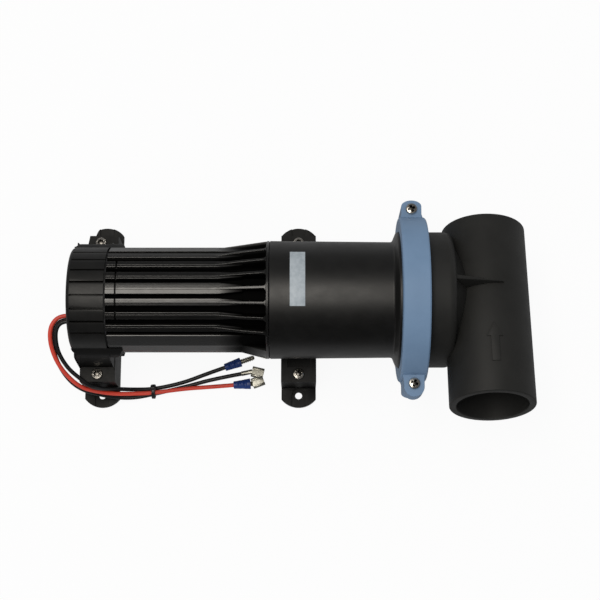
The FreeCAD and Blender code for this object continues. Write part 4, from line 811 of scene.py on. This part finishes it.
# %% Gussets of the ears
GUSSET_HALVES = (("upper", 0.3, 15.1, 66.0, 68.2), ("lower", -15.1, -0.3, 66.0, 65.6))
for label, low, high, far_tip, near_tip in GUSSET_HALVES:
    gussets = []
    for side, tip in ((1, far_tip), (-1, near_tip)):
        outline = rounded([(141.7, 44), (158.8, 44), (158.6, 54), (154.8, tip), (145.7, tip),
                           (141.9, 54)], [0, 0, 3, 4.4, 4.4, 3], 6)
        gussets.append(slab((outline * [1, side])[::side], edge_levels(low, high, 0.6)))
    piece(label + "_ear_gussets", gussets, "blue_plastic")

# %% [markdown]
# ## The head
# One moulding: a dome that the ring grips, a conical neck, the through pipe, a web
# between dome and pipe, and an arrow on the crown that shows which way the water
# goes. Its parts are grids that run into each other, as the moulding's do, and the
# neck's open end is worked out so that it lies inside the wall of the pipe.

# %% Pipe and dome
PIPE_X, PIPE_R, TURN = 202.9, 29.5, -12.5
MOUTH_R, SEAT_R = 24.7, 24.2
pipe_profile = rounded([(-79, MOUTH_R), (-79, PIPE_R), (53, PIPE_R), (53, MOUTH_R),
                        (27, MOUTH_R), (27, SEAT_R), (-31, SEAT_R), (-31, MOUTH_R)],
                       [0.6, 0.9, 0.9, 0.6, 0, 0, 0, 0], 5)
pipe, pipe_faces, _ends = turned(pipe_profile, 144)
pipe = np.stack([pipe[..., 1] + PIPE_X, pipe[..., 0], pipe[..., 2]], axis=-1)
dome_profile = rounded([(151.9, 41), (151.9, 52), (156.4, 52), (156.4, 47.3), (178, 47.3),
                        (178, 22), (172, 22), (172, 41)], [0.3, 0.3, 0.3, 0.6, 5.5, 0, 0, 1], 8)
dome = turned(dome_profile, 192)
print("pipe and dome:", pipe.shape, dome[0].shape)

# %% Neck
NECK_X, NECK_R, NECK_FALL, INNER_R = 178.0, 39.5, 1.75, 28.0
FILLET, FILLET_LENGTH = 1.2, 1.8


def cone(x):
    """Radius of the neck: it falls by 1.75 mm for each millimetre away from the dome."""
    return np.maximum(NECK_R - NECK_FALL * (x - NECK_X), 4.0)


def neck_grid(around, along):
    """The conical neck, with a fillet at the dome. Each line runs from the dome to where
    (x - pipe x) squared + z squared = 28 squared, inside the pipe's wall; halving finds it."""
    turn = circle(around)
    low, high = np.full(around, NECK_X + 0.1), np.full(around, PIPE_X)
    for _step in range(40):
        middle = (low + high) / 2
        outside = (middle - PIPE_X) ** 2 + (cone(middle) * np.cos(turn)) ** 2 > INNER_R ** 2
        low, high = np.where(outside, middle, low), np.where(outside, high, middle)
    share = np.linspace(0, 1, along)[:, None] ** 1.3
    start = NECK_X - 0.2
    x = start + share * (low[None] - start)
    radius = cone(x) + FILLET * np.clip(1 - (x - start) / FILLET_LENGTH, 0, 1) ** 2
    return around_axis(x, radius, turn)


neck = neck_grid(144, 14)
core = neck[:1] * [1, 0.72, 0.72] + [-4.0, 0, 0]
neck = np.concatenate([neck, neck[-1:] * [1, 0.9, 0.9], core])
print("neck:", neck.shape)

# %% Web, arrow and the whole head
WEB_HALF, WEB_END = 1.6, 212.5
web_outline = rounded([(170, 20), (176.0, 43.6), (177.5, 41.9), (211, 30.9), (WEB_END, 26)],
                      [0, 1, 0, 2, 0], 5)
web, web_faces, web_ends = slab(web_outline[::-1], edge_levels(-WEB_HALF, WEB_HALF, 0.45))
thin = np.clip((WEB_END - web[..., 0]) / 34.0, 0.06, 1.0)
web = np.stack([web[..., 0], web[..., 2] * thin - 1.9 * thin, web[..., 1]], axis=-1)


def arrow_part():
    """The raised arrow: an outline on the unrolled crown, wrapped round the pipe by
    x = pipe x + r sin(u / r) and z = r cos(u / r), u the distance across the crown."""
    corners = [(-2.7, -58), (2.7, -58), (2.7, -40), (5.7, -40), (0, -30), (-5.7, -40), (-2.7, -40)]
    levels = [(-1.0, 0.0), (0.62, 0.0), (0.78, 0.06), (0.84, 0.2)]
    flat, faces, ends = slab(rounded(corners, [0.3] * 7, 3), levels)
    radius = PIPE_R + flat[..., 2]
    wrap = flat[..., 0] / PIPE_R
    points = np.stack([PIPE_X + radius * np.sin(wrap), flat[..., 1], radius * np.cos(wrap)],
                      axis=-1)
    return points, faces, ends[::-1]


head_parts = [(pipe, pipe_faces, []), dome, (neck, grid_faces(*neck.shape[:2], True, True), []),
              (web, web_faces, web_ends), arrow_part()]
piece("turning_head", [moved(part, tilt_x(TURN)) for part in head_parts], "black_plastic",
      ["pump_head"], "head", sharp=30.0, finish="head_plastic")

# %% [markdown]
# ## Screws
# The screws are stainless pan heads: a low dome with a rounded rim and a driver
# recess. A dome of rings is easy, but the recess makes the screw read as a screw.
# Here the recess is part of the same grid: its depth falls off with the distance
# from a cross or from a hexagon, so the dome's points sink into it.

# %% Helpers for screws
HEAD_R, HEAD_RISE, SHANK_R, AROUND = 4.0, 2.5, 1.95, 64
DOME_END, DOME_FALL, RIM_FALL, ARM_SHARE = 0.8, 0.22, 0.56, 0.19
CROSS, HEXAGON = ("cross", 2.3, 1.5), ("hexagon", 1.9, 1.7)


def screw_head(recess):
    """A pan head about the Z axis with its underside at 0. With s the radius over the head's,
    the dome falls with s squared, by 0.22 of its height, to s = 0.8, and the rim falls along
    a quarter circle, by 0.56 of it. A recess of a kind, reach and depth sinks the points whose
    distance is below 1: for a cross with arms of half-width a the smaller of
    max(|x| / a, |y| / reach) and max(|y| / a, |x| / reach), for a hexagon the radius times the
    cosine of the angle from the side's middle, over the reach."""
    kind, reach, depth = recess
    rim_s = 1 - (1 - DOME_END) * np.cos(np.radians(np.linspace(0, 90, 9)))
    s, turn = np.meshgrid(np.concatenate([np.linspace(0.0, DOME_END, 22), rim_s[1:]]),
                          circle(AROUND), indexing="ij")
    x, y = HEAD_R * s * np.cos(turn), HEAD_R * s * np.sin(turn)
    rim = ramp(s, DOME_END, 1.0)
    z = HEAD_RISE * (1 - DOME_FALL * np.minimum(s / DOME_END, 1.0) ** 2)
    z = z - HEAD_RISE * RIM_FALL * (1 - np.sqrt(np.maximum(1 - rim ** 2, 0.0)))
    if kind == "cross":
        arm = ARM_SHARE * HEAD_R
        inside = np.minimum(np.maximum(np.abs(x) / arm, np.abs(y) / reach),
                            np.maximum(np.abs(y) / arm, np.abs(x) / reach))
    else:
        sector = (turn + math.pi / 6) % (math.pi / 3) - math.pi / 6
        inside = HEAD_R * s * np.cos(sector) / reach
    z = z - depth * (1 - ease(ramp(inside, 0.86, 1.1)))
    return np.stack([x, y, z], axis=-1)


def screw(place, recess, length, turn):
    """A pan head screw pointing down, with its head's underside at its place. The shank is a
    ring that goes down to a small bevel and closes in a pole."""
    turns = circle(AROUND)
    ring = np.stack([SHANK_R * np.cos(turns), SHANK_R * np.sin(turns), 0 * turns], axis=-1)[None]
    dome = screw_head(recess)
    rows = [dome, dome[-1:] * [1, 1, 0], ring, ring + [0, 0, 0.6 - length],
            ring * 0.7 - [0, 0, length], ring * 0.0 - [0, 0, length]]
    points = np.concatenate(rows)
    return moved((points, grid_faces(*points.shape[:2], False, True), []), turn_z(turn), place)


# %% Screws
EAR_X, EAR_Y, EAR_TOP = 150.25, 61.5, AXIS + 15.5
LEDGE_Y, LEDGE_TOP = 48.0, 34.0
ear_screws = [screw((EAR_X, side * EAR_Y, EAR_TOP), CROSS, length=33.5, turn=20 * side)
              for side in (1, -1)]
piece("ear_clamp_screws", ear_screws, "stainless", ["clamp_screws"], from_floor=True)
foot_screws = [screw((x, side * LEDGE_Y, LEDGE_TOP), HEXAGON, length=16.8, turn=10 * side)
               for x in (-FOOT_X, FOOT_X) for side in (1, -1)]
piece("foot_fixing_screws", foot_screws, "stainless", ["foot_screws"], from_floor=True)
TO_BACK = [[0, 0, -1], [0, 1, 0], [1, 0, 0]]
BOLT_X, BOLT_CIRCLE, BOLT_TURN = -84.75, 28.0, math.radians(20)
BOLT_Y, BOLT_Z = BOLT_CIRCLE * math.cos(BOLT_TURN), BOLT_CIRCLE * math.sin(BOLT_TURN)
long_bolts = [moved(screw((0, 0, 0), HEXAGON, length=153.0, turn=17 * y + 8 * z), TO_BACK,
                    (BOLT_X, y * BOLT_Y, z * BOLT_Z)) for y in (-1, 1) for z in (-1, 1)]
piece("long_tie_bolts", long_bolts, "stainless", ["tie_bolts"])

# %% [markdown]
# ## The silver patch
# A plain silver patch is printed on the housing's crown: a film a twentieth of a
# millimetre thick that follows the curve, in a slightly worn, dusty silver.

# %% Silver patch
patch_turn = np.radians(np.linspace(-40.6, 18.1, 40))[None]
patch_x = np.array([65.6, 65.6, 65.66, 75.94, 76.0, 76.0])[:, None]
patch_rise = np.array([0.0, 0.04, 0.06, 0.06, 0.04, 0.0])[:, None]
narrowing = (HOUSING_R - HOUSING_NECK_R) * (patch_x - HOUSING_BACK) / (HOUSING_NECK - HOUSING_BACK)
patch = around_axis(patch_x, HOUSING_R - narrowing - 0.01 + patch_rise, patch_turn)
rows, columns = patch.shape[:2]
ends = [np.arange(rows) * columns, (np.arange(rows) * columns + columns - 1)[::-1]]
FINISHES["silver_print"] = finish_of("silver_print", (0.30, 0.34, 0.37), (0.40, 0.44, 0.47),
                                     (0.40, 0.52), 1800, 1e-5, specular=0.4, cloud=240.0)
piece("blank_label_patch", [(patch, grid_faces(rows, columns, True, False), ends)],
      "black_plastic", sharp=60.0, weld=0.0005, finish="silver_print")

# %% [markdown]
# ## Wire ends
# The wires end in crimped terminals: a blue sleeve with two crimp dents, then a
# pin, or a push-on blade whose edges are rolled in. All are tubes or strips along
# the last run of their wire, so one function lays a grid from its own straight
# frame onto that run.

# %% Helpers for terminals


def on_run(part, route, forward, up=0.0):
    """A part drawn along +X from 0, laid level at `forward` millimetres past the end of a
    wire, in the direction of the route's last two points."""
    end, before = np.array(route[-1], float), np.array(route[-2], float)
    along = (end - before) / np.linalg.norm(end - before)
    along[2] = 0.0
    along /= np.linalg.norm(along)
    matrix = np.stack([along, np.cross([0, 0, 1], along), np.array([0, 0, 1.0])], axis=1)
    return moved(part, matrix, end + matrix @ np.array([forward, 0.0, up]))


def tube_along(stations, radii, flat=1.0):
    """A round tube with a radius at each station; `flat` squashes the height there, and each
    end is closed."""
    around = 28
    turn = circle(around)
    radii = np.array(radii)[:, None]
    flat = (np.array(flat) * np.ones(len(stations)))[:, None]
    x = np.array(stations)[:, None] + 0 * turn
    points = np.stack([x, radii * np.cos(turn), radii * flat * np.sin(turn)], axis=-1)
    ends = [np.arange(around), (np.arange(around) + (len(stations) - 1) * around)[::-1]]
    return points, grid_faces(len(stations), around, False, True), ends


# %% Helpers for a sleeve and a receptacle
SLEEVE_R, BARREL_R = 2.75, 1.75
DENTS = (0.36, 0.68)  # places of the crimp dents, as shares of the length


def crimp_sleeve(length, flare):
    """A sleeve that widens by `flare` towards its mouth, with two crimp dents, each a squashed
    stretch with the shape of a bell curve."""
    x = np.concatenate([[0, 0.15, 0.5], np.linspace(1.2, length - 1.2, 25),
                        [length - 0.5, length - 0.15, length]])
    radius = SLEEVE_R + flare * (x / length) ** 1.5
    radius[[0, 1, -2, -1]] -= [0.5, 0.15, 0.15, 0.5]
    dent = sum(np.exp(-(x - length * share) ** 2) for share in DENTS)
    return tube_along(x, radius + 0.10 * dent, (SLEEVE_R / radius) * (1 - 0.26 * dent))


def push_on(length, width, thick):
    """A push-on receptacle: a flat floor whose two edges roll up and in. The section is a strip
    that turns through 205 degrees at each edge on a small radius; it is given thickness along
    its normals."""
    roll = 1.15
    half = width / 2 - roll
    turn = np.radians(np.linspace(0, 205, 12))
    right = np.stack([half + roll * np.sin(turn), roll - roll * np.cos(turn)], axis=-1)
    middle = np.linspace(-half, half, 7)[:, None] * [1, 0]
    centre = np.concatenate([right[::-1] * [-1, 1], middle[1:-1], right])
    step = np.gradient(centre, axis=0)
    normal = np.stack([-step[:, 1], step[:, 0]], axis=-1)
    normal /= np.linalg.norm(step, axis=1, keepdims=True)
    outline = np.concatenate([centre + normal * thick / 2, (centre - normal * thick / 2)[::-1]])
    count, side = len(outline), len(centre)
    x = np.array([0, 0.25, length - 0.25, length])[:, None, None] + np.zeros((4, count, 1))
    shrink = np.array([0.94, 1.0, 1.0, 0.94])[:, None, None]
    points = np.concatenate([x, outline[None] * shrink], axis=-1)
    strip = [[i, i + 1, 2 * side - 2 - i, 2 * side - 1 - i] for i in range(side - 1)]
    caps = [np.array(quad)[::-1] for quad in strip]
    return points, grid_faces(4, count, False, True), caps + [np.array(quad) + 3 * count
                                                              for quad in strip]


def blade(name, node, route, forward, barrel, bend, lift):
    """A crimped barrel that flattens to a waist and rises by `lift`, and the receptacle on its
    end, turned by `bend` degrees from the wire."""
    points, *rest = tube_along(np.linspace(0, barrel, 8), np.full(8, BARREL_R),
                               np.linspace(1.0, 0.42, 8))
    points[..., 2] += lift * (points[..., 0] / barrel)
    receptacle = moved(push_on(length=8.8, width=7.4, thick=0.55), turn_z(bend))
    parts = [on_run((points, *rest), route, forward),
             on_run(receptacle, route, forward + barrel - 0.3, lift)]
    return piece(name, parts, "tinned", [node], sharp=40.0, from_floor=True)


# %% Sleeves, pin and receptacles
SLEEVE_LENGTH, TEETH_POINTS = 12.4, 37
for route, colour, flare in ((RED_ROUTE, "red", 1.3), (UPPER_BLACK_ROUTE, "black", 0.8)):
    sleeve = on_run(crimp_sleeve(SLEEVE_LENGTH, flare), route, 0.0)
    piece(colour + "_wire_sleeve", [sleeve], "blue_sleeve",
                            [colour + "_crimp_sleeve"], sharp=50.0, from_floor=True)
pin_x = np.concatenate([[-1.5, 0.0], np.linspace(0.4, 9.4, TEETH_POINTS), [10.0, 10.4]])
teeth = BARREL_R + 0.14 * np.sign(np.sin(np.linspace(0, 12 * math.pi, TEETH_POINTS)))
pin_r = np.concatenate([[BARREL_R, BARREL_R], teeth, [1.4, 0.8]])
pin = piece("serrated_pin", [on_run(tube_along(pin_x, pin_r), UPPER_BLACK_ROUTE, SLEEVE_LENGTH)],
            "tinned", ["pin_terminal"], sharp=30.0, from_floor=True)
red_blade = blade("red_wire_receptacle", "spade_terminal", RED_ROUTE, SLEEVE_LENGTH,
                  barrel=1.6, bend=16.0, lift=-2.4)
middle_blade = blade("middle_wire_receptacle", "tab_terminal", MIDDLE_BLACK_ROUTE, 0.0,
                     barrel=8.0, bend=-24.0, lift=1.4)

# %% [markdown]
# ## Cable tie
# One tie holds the three wires together: a band round the bundle and a small lock
# on top. The band is a rounded strip carried round a loop, the lock a rounded block.

# %% Cable tie
TIE_PLACE, TIE_R = np.array([-34.0, -56.1, 5.5 - AXIS]), 4.3
band_profile = rounded([(-1.3, 0.05), (1.3, 0.05), (1.3, 0.95), (-1.3, 0.95)],
                       [0.2, 0.2, 0.45, 0.45], 5)
band = moved(turned(band_profile + [0.0, TIE_R], 72), np.eye(3), TIE_PLACE)
lock_outline = rounded([(-1.9, -1.7), (1.9, -1.7), (1.9, 1.7), (-1.9, 1.7)], [0.9] * 4, 6)
lock = moved(slab(lock_outline, edge_levels(3.6, 7.2, 0.8)), tilt_x(-24.0), TIE_PLACE)
tie = piece("wire_bundle_tie", [band, lock], "black_wire", ["cable_tie"])
